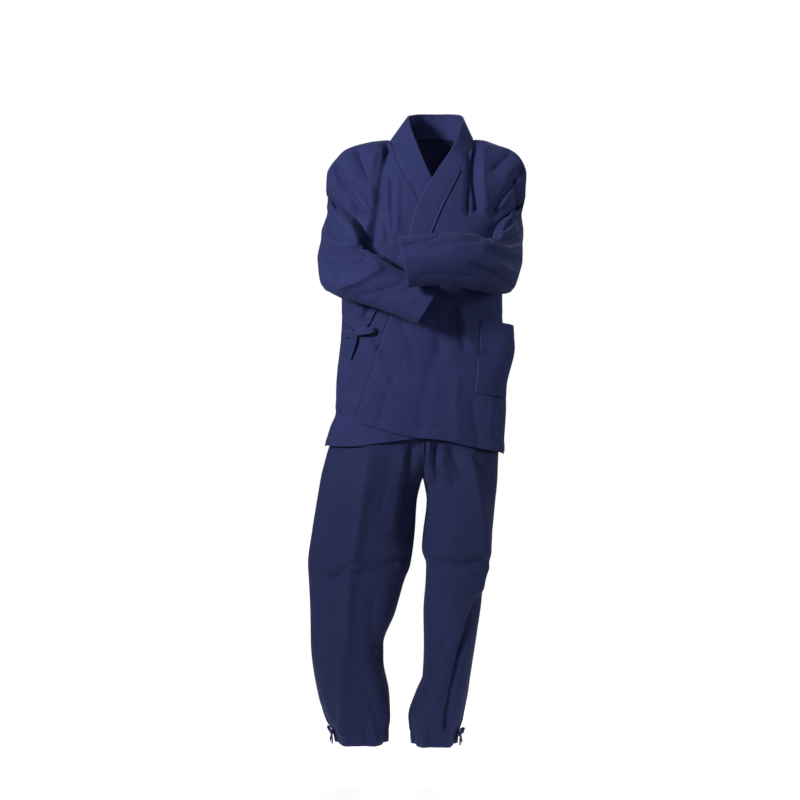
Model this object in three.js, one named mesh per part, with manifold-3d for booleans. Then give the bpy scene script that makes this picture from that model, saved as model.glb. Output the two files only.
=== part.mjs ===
// A samue: a wrap jacket and gathered trousers, hanging in the form in which they are worn,
// with the sleeves crossed in front. Millimetres, +Z up, +X to the wearer's left, front towards -Y.
import * as THREE from "three";
import { mergeVertices } from "three/addons/utils/BufferGeometryUtils.js";
import Module from "manifold-3d";

const wasm = await Module();
wasm.setup();

// Cloth
const clothWall = 1.6;
const collarWall = 3.4;
const seamGap = 0.3;
const layerLift = 6.4;
const navy = "#262b52";
const darkNavy = "#20254a";

// Jacket heights above the ground the wearer stands on
const chestHeight = 1190;
const ringSquareness = 2.4;
const archSquareness = 2.3;
const shoulderLean = 1.6;
const neckBaseHeight = 1466;
const neckCentre = 8;

// The jacket's torso, ring by ring: right and left sides, front and back
const torsoRings = [
  { z: 735, right: -240, left: 174, front: -119, back: 126 },
  { z: 767, right: -236, left: 174, front: -120, back: 128 },
  { z: 811, right: -224, left: 176, front: -121, back: 130 },
  { z: 850, right: -210, left: 178, front: -122, back: 129 },
  { z: 884, right: -210, left: 178, front: -121, back: 126 },
  { z: 957, right: -205, left: 177, front: -118, back: 117 },
  { z: 1012, right: -199, left: 174, front: -117, back: 110 },
  { z: 1067, right: -196, left: 169, front: -118, back: 108 },
  { z: 1103, right: -196, left: 168, front: -120, back: 110 },
  { z: 1190, right: -187, left: 168, front: -123, back: 115 },
];

// The ridge over the shoulders, from the right underarm (across -1) to the left one (across 1)
const shoulderRidge = [
  { across: -1, x: -187, y: 0, z: 1190 },
  { across: -0.98, x: -206, y: 0, z: 1250 },
  { across: -0.95, x: -224, y: -1, z: 1320 },
  { across: -0.92, x: -231, y: -3, z: 1351 },
  { across: -0.87, x: -229, y: -6, z: 1385 },
  { across: -0.81, x: -220, y: -6, z: 1405 },
  { across: -0.75, x: -206, y: -5, z: 1423 },
  { across: -0.68, x: -188, y: -2, z: 1441 },
  { across: -0.61, x: -154, y: 2, z: 1454 },
  { across: -0.53, x: -120, y: 5, z: 1461 },
  { across: -0.45, x: -84, y: 9, z: 1464 },
  { across: 0, x: 8, y: 25, z: 1484 },
  { across: 0.45, x: 101, y: 9, z: 1465 },
  { across: 0.53, x: 123, y: 5, z: 1463 },
  { across: 0.61, x: 155, y: 2, z: 1453 },
  { across: 0.68, x: 190, y: -2, z: 1438 },
  { across: 0.74, x: 205, y: -5, z: 1425 },
  { across: 0.8, x: 216, y: -6, z: 1407 },
  { across: 0.86, x: 221, y: -6, z: 1389 },
  { across: 0.92, x: 220, y: -3, z: 1350 },
  { across: 0.95, x: 218, y: -1, z: 1314 },
  { across: 0.98, x: 196, y: 0, z: 1245 },
  { across: 1, x: 168, y: 0, z: 1190 },
];
const sleeveSeamAcross = 0.94;

// Armhole seams between the underarm and the ridge, seen from the front
const armholes = {
  rightFront: [
    { x: -172, z: 1196 },
    { x: -152, z: 1210 },
    { x: -140, z: 1232 },
    { x: -147, z: 1264 },
    { x: -165, z: 1287 },
    { x: -186, z: 1302 },
    { x: -211, z: 1315 },
  ],
  rightBack: [
    { x: -183, z: 1204 },
    { x: -177, z: 1240 },
    { x: -183, z: 1280 },
    { x: -198, z: 1304 },
    { x: -213, z: 1315 },
  ],
  leftFront: [
    { x: 156, z: 1196 },
    { x: 143, z: 1210 },
    { x: 136, z: 1232 },
    { x: 143, z: 1262 },
    { x: 161, z: 1283 },
    { x: 184, z: 1298 },
    { x: 206, z: 1309 },
  ],
  leftBack: [
    { x: 164, z: 1204 },
    { x: 160, z: 1240 },
    { x: 167, z: 1278 },
    { x: 186, z: 1299 },
    { x: 206, z: 1309 },
  ],
};

// Hems: height by position across
const hemLeftFront = [
  { x: -205, z: 858 },
  { x: -192, z: 845 },
  { x: -164, z: 832 },
  { x: -133, z: 825 },
  { x: -24, z: 801 },
  { x: 23, z: 797 },
  { x: 91, z: 781 },
  { x: 176, z: 759 },
];
const hemRightFront = [
  { x: -236, z: 774 },
  { x: -160, z: 779 },
  { x: -113, z: 787 },
  { x: -24, z: 799 },
  { x: 23, z: 804 },
  { x: 91, z: 794 },
  { x: 176, z: 782 },
];
const hemBack = [
  { x: -236, z: 768 },
  { x: -30, z: 757 },
  { x: 176, z: 750 },
];
const slitTop = { right: 851, left: 800 };
const slitOpening = 0.03;

// Free edge and overlap seam of each front, by height
const freeEdgeLeft = [
  { z: 730, x: -206 },
  { z: 860, x: -203 },
  { z: 885, x: -201 },
  { z: 923, x: -197 },
  { z: 961, x: -186 },
  { z: 992, x: -175 },
  { z: 1040, x: -147 },
  { z: 1085, x: -130 },
  { z: 1106, x: -119 },
];
const overlapSeamLeft = [
  { z: 730, x: -195 },
  { z: 832, x: -164 },
  { z: 952, x: -126 },
  { z: 1076, x: -84 },
  { z: 1106, x: -66 },
];
const freeEdgeRight = [
  { z: 730, x: 143 },
  { z: 900, x: 142 },
  { z: 980, x: 137 },
  { z: 1050, x: 127 },
  { z: 1106, x: 112.5 },
];
const overlapSeamRight = [
  { z: 730, x: 92 },
  { z: 900, x: 84 },
  { z: 1050, x: 74 },
  { z: 1106, x: 65.5 },
];

// The collar band on the fronts, by height: its seam and its free edge on each side
const collarLines = [
  { z: 1085, seamLeft: -76, edgeLeft: -130, seamRight: 73.5, edgeRight: 120 },
  { z: 1106, seamLeft: -66, edgeLeft: -119, seamRight: 65.5, edgeRight: 112.5 },
  { z: 1140, seamLeft: -47, edgeLeft: -100.5, seamRight: 52, edgeRight: 101 },
  { z: 1190, seamLeft: -21, edgeLeft: -73.5, seamRight: 33, edgeRight: 82.5 },
  { z: 1240, seamLeft: 0.5, edgeLeft: -47.5, seamRight: 14, edgeRight: 63.5 },
  { z: 1290, seamLeft: 19.5, edgeLeft: -35, seamRight: -5, edgeRight: 46.5 },
  { z: 1340, seamLeft: 43, edgeLeft: -15, seamRight: -29, edgeRight: 25 },
  { z: 1380, seamLeft: 64, edgeLeft: 10, seamRight: -50, edgeRight: 5.5 },
  { z: 1420, seamLeft: 83, edgeLeft: 36, seamRight: -71, edgeRight: -14 },
  { z: 1450, seamLeft: 96.5, edgeLeft: 60, seamRight: -82, edgeRight: -28 },
  { z: 1466, seamLeft: 102, edgeLeft: 77, seamRight: -86, edgeRight: -38 },
];

// The collar's free edge where the band stands up round the neck. Over is the seam's place on its way
// over the shoulder: below 90 on the front, above 90 on the back. Stand says how far the band has risen.
const standingCollar = [
  { over: 42, stand: 0, left: [13, -90, 1386], right: [6, -90, 1386] },
  { over: 54, stand: 0.4, left: [40, -76, 1426], right: [-14, -78, 1430] },
  { over: 64, stand: 0.9, left: [58, -60, 1458], right: [-30, -60, 1464] },
  { over: 71, stand: 1, left: [66, -48, 1478], right: [-38, -46, 1484] },
  { over: 76.6, stand: 1, left: [71, -36, 1494], right: [-43, -32, 1499] },
  { over: 82.7, stand: 1, left: [75, -22, 1506], right: [-45, -18, 1509] },
  { over: 90, stand: 1, left: [76, -4, 1515], right: [-44, -2, 1517] },
  { over: 97.3, stand: 1, left: [72, 17, 1520], right: [-38, 18, 1520] },
  { over: 103.4, stand: 1, left: [58, 37, 1523], right: [-25, 37, 1523] },
  { over: 107.6, stand: 1, left: [38, 49, 1524], right: [-6, 49, 1524] },
  { over: 109, stand: 1, left: [16, 53, 1524], right: [16, 53, 1524] },
];

// Sleeves, ring by ring from the armhole to the cuff. Each ring has four outermost points:
// inner on the crook side, outer on the elbow side, front and back.
const rightSleeveRings = [
  { inner: [-155, -119, 1246], outer: [-226, 38, 1232], front: [-226, -34, 1288], back: [-222, -16, 1170] },
  { inner: [-152, -132, 1230], outer: [-238, 6, 1205], front: [-226, -68, 1252], back: [-214, -42, 1148] },
  { inner: [-147, -141, 1222], outer: [-243, -30, 1178], front: [-224, -104, 1217], back: [-209, -72, 1140] },
  { inner: [-140, -148, 1217], outer: [-240, -66, 1153], front: [-217, -134, 1187], back: [-199, -98, 1138] },
  { inner: [-128, -153, 1213], outer: [-227, -100, 1132], front: [-203, -166, 1166], back: [-183, -117, 1142] },
  { inner: [-112, -158, 1206], outer: [-199, -130, 1115], front: [-172, -189, 1157], back: [-155, -130, 1146] },
  { inner: [-92, -163, 1192], outer: [-157, -150, 1102], front: [-132, -202, 1148], back: [-120, -139, 1140] },
  { inner: [-62, -169, 1174], outer: [-112, -164, 1089], front: [-90, -211, 1134], back: [-84, -146, 1130] },
  { inner: [-20, -176, 1156], outer: [-66, -176, 1073], front: [-44, -218, 1116], back: [-42, -152, 1114] },
  { inner: [24, -181, 1142], outer: [-26, -185, 1058], front: [0, -222, 1101], back: [-2, -156, 1099] },
];
const leftSleeveRings = [
  { inner: [150, -120, 1250], outer: [203, 38, 1228], front: [208, -32, 1286], back: [190, -12, 1160] },
  { inner: [148, -140, 1240], outer: [205, 6, 1198], front: [204, -72, 1252], back: [182, -46, 1158] },
  { inner: [143, -158, 1237], outer: [202, -32, 1170], front: [196, -118, 1222], back: [173, -88, 1158] },
  { inner: [135, -174, 1238], outer: [194, -78, 1144], front: [184, -168, 1202], back: [160, -121, 1160] },
  { inner: [122, -192, 1243], outer: [178, -128, 1125], front: [163, -222, 1188], back: [146, -148, 1166] },
  { inner: [98, -212, 1251], outer: [150, -168, 1122], front: [132, -254, 1184], back: [122, -171, 1172] },
  { inner: [66, -232, 1256], outer: [106, -204, 1131], front: [88, -280, 1190], back: [88, -198, 1176] },
  { inner: [28, -248, 1256], outer: [54, -232, 1140], front: [40, -298, 1196], back: [42, -222, 1188] },
  { inner: [-18, -260, 1251], outer: [6, -252, 1143], front: [-6, -306, 1196], back: [-6, -229, 1190] },
  { inner: [-68, -266, 1244], outer: [-46, -262, 1140], front: [-57, -308, 1192], back: [-57, -231, 1188] },
];
const sleeveSquareness = 2.3;
const sleeveRows = 14;
const sleeveSeamGap = 0.36;

// Trousers, ring by ring. Crest is where the leg reaches furthest forward and back. At the seat both legs
// share one ring, so the inner edge runs on the centre seam; innerFront and innerBack say how far out it lies.
const legRings = {
  right: [
    { z: 88, side: -212, inner: -91, crest: -152, front: -68, back: 58, innerFront: 0, innerBack: 0 },
    { z: 110, side: -214, inner: -90, crest: -152, front: -68, back: 60, innerFront: 0, innerBack: 0 },
    { z: 142, side: -235, inner: -86, crest: -160, front: -74, back: 66, innerFront: 0, innerBack: 0 },
    { z: 199, side: -253, inner: -89, crest: -171, front: -79, back: 74, innerFront: 0, innerBack: 0 },
    { z: 274, side: -266, inner: -102, crest: -184, front: -80, back: 80, innerFront: 0, innerBack: 0 },
    { z: 311, side: -269, inner: -102, crest: -186, front: -80, back: 82, innerFront: 0, innerBack: 0 },
    { z: 386, side: -270, inner: -75, crest: -172, front: -82, back: 84, innerFront: 0, innerBack: 0 },
    { z: 460, side: -273, inner: -54, crest: -164, front: -86, back: 84, innerFront: 0, innerBack: 0 },
    { z: 497, side: -275, inner: -40, crest: -158, front: -89, back: 84, innerFront: 0, innerBack: 0 },
    { z: 571, side: -266, inner: -30, crest: -148, front: -93, back: 88, innerFront: 0, innerBack: 0 },
    { z: 645, side: -254, inner: -25, crest: -140, front: -99, back: 98, innerFront: 0, innerBack: 0 },
    { z: 686, side: -247, inner: -16, crest: -132, front: -102, back: 106, innerFront: -2, innerBack: 2 },
    { z: 703, side: -244, inner: -12, crest: -114, front: -103, back: 109, innerFront: -46, innerBack: 40 },
    { z: 730, side: -237, inner: -12, crest: -91, front: -105, back: 112, innerFront: -78, innerBack: 78 },
    { z: 765, side: -227, inner: -12, crest: -66, front: -106, back: 115, innerFront: -98, innerBack: 104 },
    { z: 815, side: -204, inner: -12, crest: -36, front: -107, back: 116, innerFront: -107, innerBack: 116 },
    { z: 880, side: -191, inner: -12, crest: -25, front: -106, back: 112, innerFront: -106, innerBack: 112 },
    { z: 960, side: -178, inner: -12, crest: -24, front: -101, back: 101, innerFront: -101, innerBack: 101 },
    { z: 1044, side: -168, inner: -12, crest: -24, front: -96, back: 90, innerFront: -96, innerBack: 90 },
  ],
  left: [
    { z: 84, side: 68, inner: -38, crest: 15, front: -64, back: 58, innerFront: 0, innerBack: 0 },
    { z: 105, side: 70, inner: -40, crest: 15, front: -64, back: 60, innerFront: 0, innerBack: 0 },
    { z: 142, side: 82, inner: -45, crest: 18, front: -70, back: 66, innerFront: 0, innerBack: 0 },
    { z: 199, side: 93, inner: -27, crest: 33, front: -76, back: 74, innerFront: 0, innerBack: 0 },
    { z: 236, side: 98, inner: -12, crest: 43, front: -78, back: 78, innerFront: 0, innerBack: 0 },
    { z: 311, side: 109, inner: -9, crest: 50, front: -80, back: 82, innerFront: 0, innerBack: 0 },
    { z: 386, side: 120, inner: -10, crest: 55, front: -82, back: 84, innerFront: 0, innerBack: 0 },
    { z: 460, side: 129, inner: -5, crest: 62, front: -86, back: 84, innerFront: 0, innerBack: 0 },
    { z: 497, side: 138, inner: -4, crest: 67, front: -89, back: 84, innerFront: 0, innerBack: 0 },
    { z: 534, side: 143, inner: -14, crest: 64, front: -91, back: 86, innerFront: 0, innerBack: 0 },
    { z: 571, side: 147, inner: -11, crest: 68, front: -93, back: 88, innerFront: 0, innerBack: 0 },
    { z: 645, side: 154, inner: -3, crest: 76, front: -99, back: 98, innerFront: 0, innerBack: 0 },
    { z: 686, side: 158, inner: -9, crest: 74, front: -102, back: 106, innerFront: -2, innerBack: 2 },
    { z: 703, side: 159, inner: -12, crest: 63, front: -103, back: 109, innerFront: -46, innerBack: 40 },
    { z: 730, side: 160, inner: -12, crest: 48, front: -105, back: 112, innerFront: -78, innerBack: 78 },
    { z: 765, side: 161, inner: -12, crest: 31, front: -106, back: 116.5, innerFront: -98, innerBack: 104 },
    { z: 815, side: 160, inner: -12, crest: 10, front: -107, back: 116, innerFront: -107, innerBack: 116 },
    { z: 880, side: 157, inner: -12, crest: 1, front: -106, back: 112, innerFront: -106, innerBack: 112 },
    { z: 960, side: 151, inner: -12, crest: 0, front: -101, back: 101, innerFront: -101, innerBack: 101 },
    { z: 1044, side: 142, inner: -12, crest: 0, front: -96, back: 90, innerFront: -96, innerBack: 90 },
  ],
};
const legSquareness = 2.3;
const crotchHeight = 690;
const legRows = 23;
const legColumns = 10;
const gatherWaves = 3;
const gatherDepth = 4.5;
const gatherTop = 175;

// Folds as seen from the front: a soft trough, or with a depth below 0 a ridge, along a line of x and z points
const jacketFolds = [
  { line: [[-92, 1452], [-112, 1392], [-118, 1310], [-134, 1235]], width: 14, depth: 7 },
  { line: [[-160, 1435], [-138, 1375]], width: 14, depth: 5 },
  { line: [[-110, 1425], [-128, 1360]], width: 14, depth: -5 },
  { line: [[-208, 1398], [-176, 1340], [-145, 1290]], width: 14, depth: 5 },
  { line: [[-90, 1330], [-78, 1265]], width: 14, depth: -4 },
  { line: [[98, 1425], [89, 1310]], width: 16, depth: 6 },
  { line: [[110, 1455], [104, 1385], [108, 1302]], width: 14, depth: 6 },
  { line: [[212, 1386], [186, 1352], [148, 1300]], width: 16, depth: 6 },
  { line: [[184, 1430], [150, 1396]], width: 14, depth: 4 },
  { line: [[72, 1078], [90, 1018], [108, 990]], width: 14, depth: -5 },
  { line: [[40, 1060], [10, 960]], width: 16, depth: 4 },
  { line: [[-160, 1000], [-150, 900]], width: 16, depth: 4 },
  { line: [[150, 900], [158, 800]], width: 14, depth: 4 },
];
const backFolds = [
  { line: [[-92, 1440], [-118, 1330], [-140, 1240]], width: 16, depth: 6 },
  { line: [[106, 1440], [112, 1330], [132, 1240]], width: 16, depth: 6 },
  { line: [[-150, 1180], [-96, 1120]], width: 18, depth: 5 },
  { line: [[140, 1176], [84, 1110]], width: 18, depth: 5 },
  { line: [[-120, 1010], [-40, 985]], width: 16, depth: 4 },
  { line: [[20, 1000], [110, 1020]], width: 16, depth: 4 },
  { line: [[-80, 920], [-92, 790]], width: 20, depth: 4 },
  { line: [[60, 930], [76, 780]], width: 20, depth: 4 },
];
const sleeveFolds = [
  { line: [[-232, 1290], [-190, 1240]], width: 14, depth: 5 },
  { line: [[-225, 1215], [-160, 1215]], width: 14, depth: 5 },
  { line: [[-216, 1180], [-150, 1196]], width: 14, depth: 5 },
  { line: [[-190, 1140], [-120, 1180]], width: 14, depth: -5 },
  { line: [[-100, 1120], [-40, 1130]], width: 14, depth: 4 },
  { line: [[216, 1290], [170, 1262]], width: 14, depth: 6 },
  { line: [[208, 1235], [160, 1228]], width: 14, depth: 6 },
  { line: [[200, 1180], [140, 1215]], width: 14, depth: 5 },
  { line: [[168, 1150], [110, 1176]], width: 14, depth: 5 },
  { line: [[30, 1232], [-60, 1222]], width: 14, depth: 4 },
];
const trouserFolds = [
  { line: [[-122, 745], [-146, 650], [-168, 505]], width: 14, depth: -5 },
  { line: [[-176, 480], [-186, 300]], width: 14, depth: -5 },
  { line: [[-190, 300], [-196, 150]], width: 14, depth: -5 },
  { line: [[-252, 472], [-205, 482], [-78, 500]], width: 14, depth: 6 },
  { line: [[-36, 765], [-56, 575]], width: 14, depth: 7 },
  { line: [[90, 760], [112, 690], [128, 520]], width: 14, depth: -5 },
  { line: [[52, 765], [56, 695]], width: 14, depth: 6 },
  { line: [[20, 770], [16, 700]], width: 14, depth: 5 },
  { line: [[20, 505], [125, 512]], width: 14, depth: 6 },
  { line: [[118, 425], [74, 290], [42, 135]], width: 14, depth: 7 },
  { line: [[36, 322], [-4, 250]], width: 14, depth: 5 },
  { line: [[-150, 240], [-110, 130]], width: 14, depth: 5 },
];
const trouserBackFolds = [
  { line: [[-230, 500], [-80, 520]], width: 15, depth: 6 },
  { line: [[-240, 470], [-90, 480]], width: 14, depth: 5 },
  { line: [[10, 520], [120, 505]], width: 15, depth: 6 },
  { line: [[-60, 720], [-120, 600]], width: 18, depth: 6 },
  { line: [[40, 720], [90, 600]], width: 18, depth: 6 },
  { line: [[-150, 300], [-170, 150]], width: 16, depth: 5 },
  { line: [[30, 300], [20, 150]], width: 16, depth: 5 },
];

// Patch pocket on the left front: its edges by height, and how far its mouth stands off
const pocketSides = [
  { z: 889, inner: 100, outer: 173 },
  { z: 925, inner: 103, outer: 174.5 },
  { z: 980, inner: 107, outer: 174 },
  { z: 1052, inner: 113, outer: 168.5 },
];
const pocketGape = 23;
const pocketEase = 1.3;
const pocketTilt = { inner: 12, outer: -8 };

// Waist tie: ribbons by their middle line on the front, seen from the front, and their distance from the cloth
const tieWidth = 15;
const tieWall = 2.4;
const waistKnot = { x: -157, z: 1032, out: 13, aside: 8, up: 6.5, thick: 4.6 };
const waistRibbons = [
  {
    loop: true,
    rows: [
      { x: -156, z: 1033, out: 12 },
      { x: -138, z: 1036, out: 12.9 },
      { x: -122, z: 1041, out: 13 },
      { x: -116, z: 1044, out: 17 },
      { x: -122, z: 1043, out: 21 },
      { x: -138, z: 1038, out: 22 },
      { x: -156, z: 1034, out: 15 },
    ],
  },
  {
    loop: true,
    rows: [
      { x: -158, z: 1032, out: 12 },
      { x: -167, z: 1034, out: 11 },
      { x: -175, z: 1036, out: 11 },
      { x: -178, z: 1037, out: 15 },
      { x: -175, z: 1036, out: 19 },
      { x: -167, z: 1034, out: 19 },
      { x: -158, z: 1032, out: 15 },
    ],
  },
  {
    loop: false,
    rows: [
      { x: -158, z: 1031, out: 13 },
      { x: -165, z: 1014, out: 13 },
      { x: -174, z: 998, out: 11 },
      { x: -181, z: 984, out: 11 },
    ],
  },
  {
    loop: false,
    rows: [
      { x: -156, z: 1031, out: 13 },
      { x: -159, z: 1012, out: 14 },
      { x: -165, z: 993, out: 12 },
      { x: -168, z: 976, out: 12.5 },
    ],
  },
];
const frontStrap = {
  loop: false,
  rows: [
    { x: -115, z: 1097, out: 2 },
    { x: -125, z: 1079, out: 2.2 },
    { x: -136, z: 1060, out: 2.6 },
    { x: -143, z: 1048, out: 3.6 },
  ],
};
const sideStrap = {
  loop: false,
  rows: [
    { x: -189.5, z: 1046, out: 2.2 },
    { x: -184, z: 1043, out: 3 },
    { x: -176, z: 1038, out: 4.5 },
    { x: -167, z: 1034, out: 6 },
  ],
};

// Ankle drawstring bow beside its knot: towards the front, up, and away from the leg
const drawstringWidth = 6;
const drawstringWall = 1.8;
const ankleKnot = { aside: 4.5, up: 4.5, thick: 3.4 };
const ankleRibbons = [
  { way: [0, 1, 0.3], rows: [[0, 0, 0], [9, 4, 0.5], [16, 6, 1.5], [20, 7, 4.5], [16, 7, 8], [9, 5, 7], [0, 1, 2]] },
  { way: [0, 1, 0.3], rows: [[0, 0, 0], [-8, 4, 0.5], [-13, 6, 1.5], [-17, 7, 4.5], [-13, 7, 8], [-7, 5, 7], [0, 1, 2]] },
  { way: [1, 0.3, 0], rows: [[0, 0, 1], [4, -8, 2], [8, -17, 2], [10, -25, 3]] },
  { way: [1, -0.2, 0], rows: [[0, 0, 1], [-3, -8, 2], [-5, -15, 3], [-9, -21, 3]] },
];
const ankleBowPlaces = {
  right: { share: 0.1, z: 112, off: 8.7 },
  left: { share: 0.1, z: 107, off: 5 },
};

// Where the wearer's neck and shoulders carry the set, in the same heights
const restPoint = new THREE.Vector3(8, 9, 1464);

// How the left front comes down to the right one: from and to, across and by height
const liftSettles = { acrossFrom: 0.55, acrossTo: 0.98, heightFrom: 1335, heightTo: 1450 };

// Folds fade out as the cloth turns over the shoulder ridge; side seams close below the chest
const ridgeCalm = { from: 1.8, to: 1.98 };
const sideSeamEnd = { open: 0.99, joined: 1.04 };
const hemLookHeight = 800;
const slitFlare = 80;
const surfaceStep = 0.004;
const legSurfaceStep = { share: 0.01, height: 4 };
const seamCalm = { side: 0.12, inner: 0.86 };
const bisections = 40;
const heightStep = 0.01;
const widestSearch = 0.99;

// How fast the collar's outward direction turns upright along its width
const collarTurn = { start: 0.4, rate: 3 };

// How far a sleeve's first ring takes its wall's direction from the panel, by how well the two agree
const seamAgreement = { from: -0.2, to: 0.5 };
const sleeveFacing = { from: -0.1, to: 0.5, rows: 3 };
const gatherRise = 15;
const legCentreFrom = 0.6;
const pocketSteps = 8;
const pocketBulge = { rising: 0.7, falling: 0.84 };
const pocketGapeRise = { from: 0.05, to: 0.75 };
const ribbonLook = 0.05;
const knotFaces = { around: 9, down: 6 };
const extraTieSteps = 3;
const clothRoughness = 0.86;
const joinTolerance = 0.12;

function lerp(a, b, t) {
  return a + (b - a) * t;
}

function smooth(from, to, value) {
  const t = Math.min(1, Math.max(0, (value - from) / (to - from)));
  return t * t * (3 - 2 * t);
}

// A smooth curve through one column of a table, without overshoot between its rows
function curveOf(rows, keyColumn, valueColumn) {
  const keys = rows.map((row) => row[keyColumn]);
  const values = rows.map((row) => row[valueColumn]);
  const last = keys.length - 1;
  const slopes = [];
  for (let i = 0; i < last; i += 1) slopes.push((values[i + 1] - values[i]) / (keys[i + 1] - keys[i]));
  const tangents = keys.map((key, i) => {
    if (i === 0) return slopes[0];
    if (i === last) return slopes[last - 1];
    const before = slopes[i - 1];
    const after = slopes[i];
    return before * after <= 0 ? 0 : (2 * before * after) / (before + after);
  });
  return (key) => {
    if (key <= keys[0]) return values[0];
    if (key >= keys[last]) return values[last];
    let i = 0;
    while (key > keys[i + 1]) i += 1;
    const span = keys[i + 1] - keys[i];
    const t = (key - keys[i]) / span;
    const rise = t * t * (3 - 2 * t);
    const lead = t * (1 - t) * (1 - t) * tangents[i] * span;
    const trail = t * t * (1 - t) * tangents[i + 1] * span;
    return values[i] + (values[i + 1] - values[i]) * rise + lead - trail;
  };
}

function solve(difference, low, high) {
  let below = low;
  let above = high;
  for (let step = 0; step < bisections; step += 1) {
    const middle = (below + above) / 2;
    if (difference(middle) < 0) below = middle;
    else above = middle;
  }
  return (below + above) / 2;
}

const ring = {
  right: curveOf(torsoRings, "z", "right"),
  left: curveOf(torsoRings, "z", "left"),
  front: curveOf(torsoRings, "z", "front"),
  back: curveOf(torsoRings, "z", "back"),
};
const ridge = {
  x: curveOf(shoulderRidge, "across", "x"),
  y: curveOf(shoulderRidge, "across", "y"),
  z: curveOf(shoulderRidge, "across", "z"),
};

// A point on the torso at a height: across runs from -1 at the right side seam to 1 at the left one
function torsoPoint(across, z, face) {
  const right = ring.right(z);
  const left = ring.left(z);
  const turn = (across * Math.PI) / 2;
  const sideways = Math.abs(Math.sin(turn)) ** (2 / ringSquareness);
  const x = (left + right) / 2 + ((left - right) / 2) * Math.sign(across) * sideways;
  const y = ring[face](z) * Math.max(0, Math.cos(turn)) ** (2 / ringSquareness);
  return new THREE.Vector3(x, y, z);
}

// The jacket's form: climb runs from 0 at the hem to 1 at the chest and 2 on the shoulder ridge
function jacketPoint(across, climb, face, hem) {
  if (climb <= 1) {
    const hemHeight = hem(torsoPoint(across, hemLookHeight, face).x);
    return torsoPoint(across, lerp(hemHeight, chestHeight, climb), face);
  }
  const base = torsoPoint(across, chestHeight, face);
  const angle = ((climb - 1) * Math.PI) / 2;
  const rise = Math.sin(angle) ** (2 / archSquareness);
  const reach = Math.max(0, Math.cos(angle)) ** (2 / archSquareness);
  return new THREE.Vector3(
    lerp(base.x, ridge.x(across), rise ** shoulderLean),
    lerp(ridge.y(across), base.y, reach),
    lerp(chestHeight, ridge.z(across), rise),
  );
}

// The same form addressed by its place seen from the front
function acrossAt(x, z, face) {
  const reachTo = (across) => {
    if (z <= chestHeight) return torsoPoint(across, z, face).x - x;
    const top = Math.max(ridge.z(across), chestHeight + heightStep);
    const rise = Math.min(1, (z - chestHeight) / (top - chestHeight));
    return lerp(torsoPoint(across, chestHeight, face).x, ridge.x(across), rise ** shoulderLean) - x;
  };
  return solve(reachTo, -sleeveSeamAcross, sleeveSeamAcross);
}

function climbAt(across, z, hem) {
  if (z <= chestHeight) {
    const hemHeight = hem(torsoPoint(across, hemLookHeight, "front").x);
    return (z - hemHeight) / (chestHeight - hemHeight);
  }
  const rise = Math.min(1, (z - chestHeight) / (ridge.z(across) - chestHeight));
  return 1 + Math.asin(rise ** (archSquareness / 2)) / (Math.PI / 2);
}

function jacketNormal(across, climb, face, hem) {
  const east = jacketPoint(Math.min(1, across + surfaceStep), climb, face, hem);
  const west = jacketPoint(Math.max(-1, across - surfaceStep), climb, face, hem);
  const upper = jacketPoint(across, Math.min(2, climb + surfaceStep), face, hem);
  const lower = jacketPoint(across, climb - surfaceStep, face, hem);
  const normal = east.sub(west).cross(upper.sub(lower)).normalize();
  return face === "front" ? normal : normal.negate();
}

// How much the folds move the cloth in at a place, seen from the front
function foldDepth(folds, x, z) {
  let depth = 0;
  for (const { line, width, depth: most } of folds) {
    let nearest = Infinity;
    for (let i = 0; i < line.length - 1; i += 1) {
      nearest = Math.min(nearest, distanceToStretch(x, z, line[i], line[i + 1]));
    }
    depth += most * Math.exp(-((nearest / width) ** 2));
  }
  return depth;
}

function distanceToStretch(x, z, [fromX, fromZ], [toX, toZ]) {
  const alongX = toX - fromX;
  const alongZ = toZ - fromZ;
  const share = ((x - fromX) * alongX + (z - fromZ) * alongZ) / (alongX * alongX + alongZ * alongZ);
  const t = Math.min(1, Math.max(0, share));
  return Math.hypot(x - fromX - alongX * t, z - fromZ - alongZ * t);
}

// The left front lies over the right one, and comes down to it at its side seam and its shoulder
function leftLift(across, z) {
  const aside = 1 - smooth(liftSettles.acrossFrom, liftSettles.acrossTo, across);
  return layerLift * aside * (1 - smooth(liftSettles.heightFrom, liftSettles.heightTo, z));
}

// Each cloth point is a pair: its outer face and its inner face
function clothPair(point, normal, offset, wall) {
  return {
    outer: point.clone().addScaledVector(normal, offset),
    inner: point.clone().addScaledVector(normal, offset - wall),
    normal,
  };
}

function jacketPair(across, climb, face, hem, lift, wall = clothWall, extra = 0) {
  const point = jacketPoint(across, climb, face, hem);
  const normal = jacketNormal(across, climb, face, hem);
  const folds = face === "front" ? jacketFolds : backFolds;
  const overRidge = 1 - smooth(ridgeCalm.from, ridgeCalm.to, climb);
  const offset = lift(across, point.z) - foldDepth(folds, point.x, point.z) * overRidge + extra;
  const pair = clothPair(point, normal, offset, wall);
  const sideSeam = smooth(sideSeamEnd.joined, sideSeamEnd.open, climb);
  const apart = ((face === "front" ? -1 : 1) * seamGap * sideSeam) / 2;
  pair.outer.y += apart;
  pair.inner.y += apart;
  return pair;
}

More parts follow.
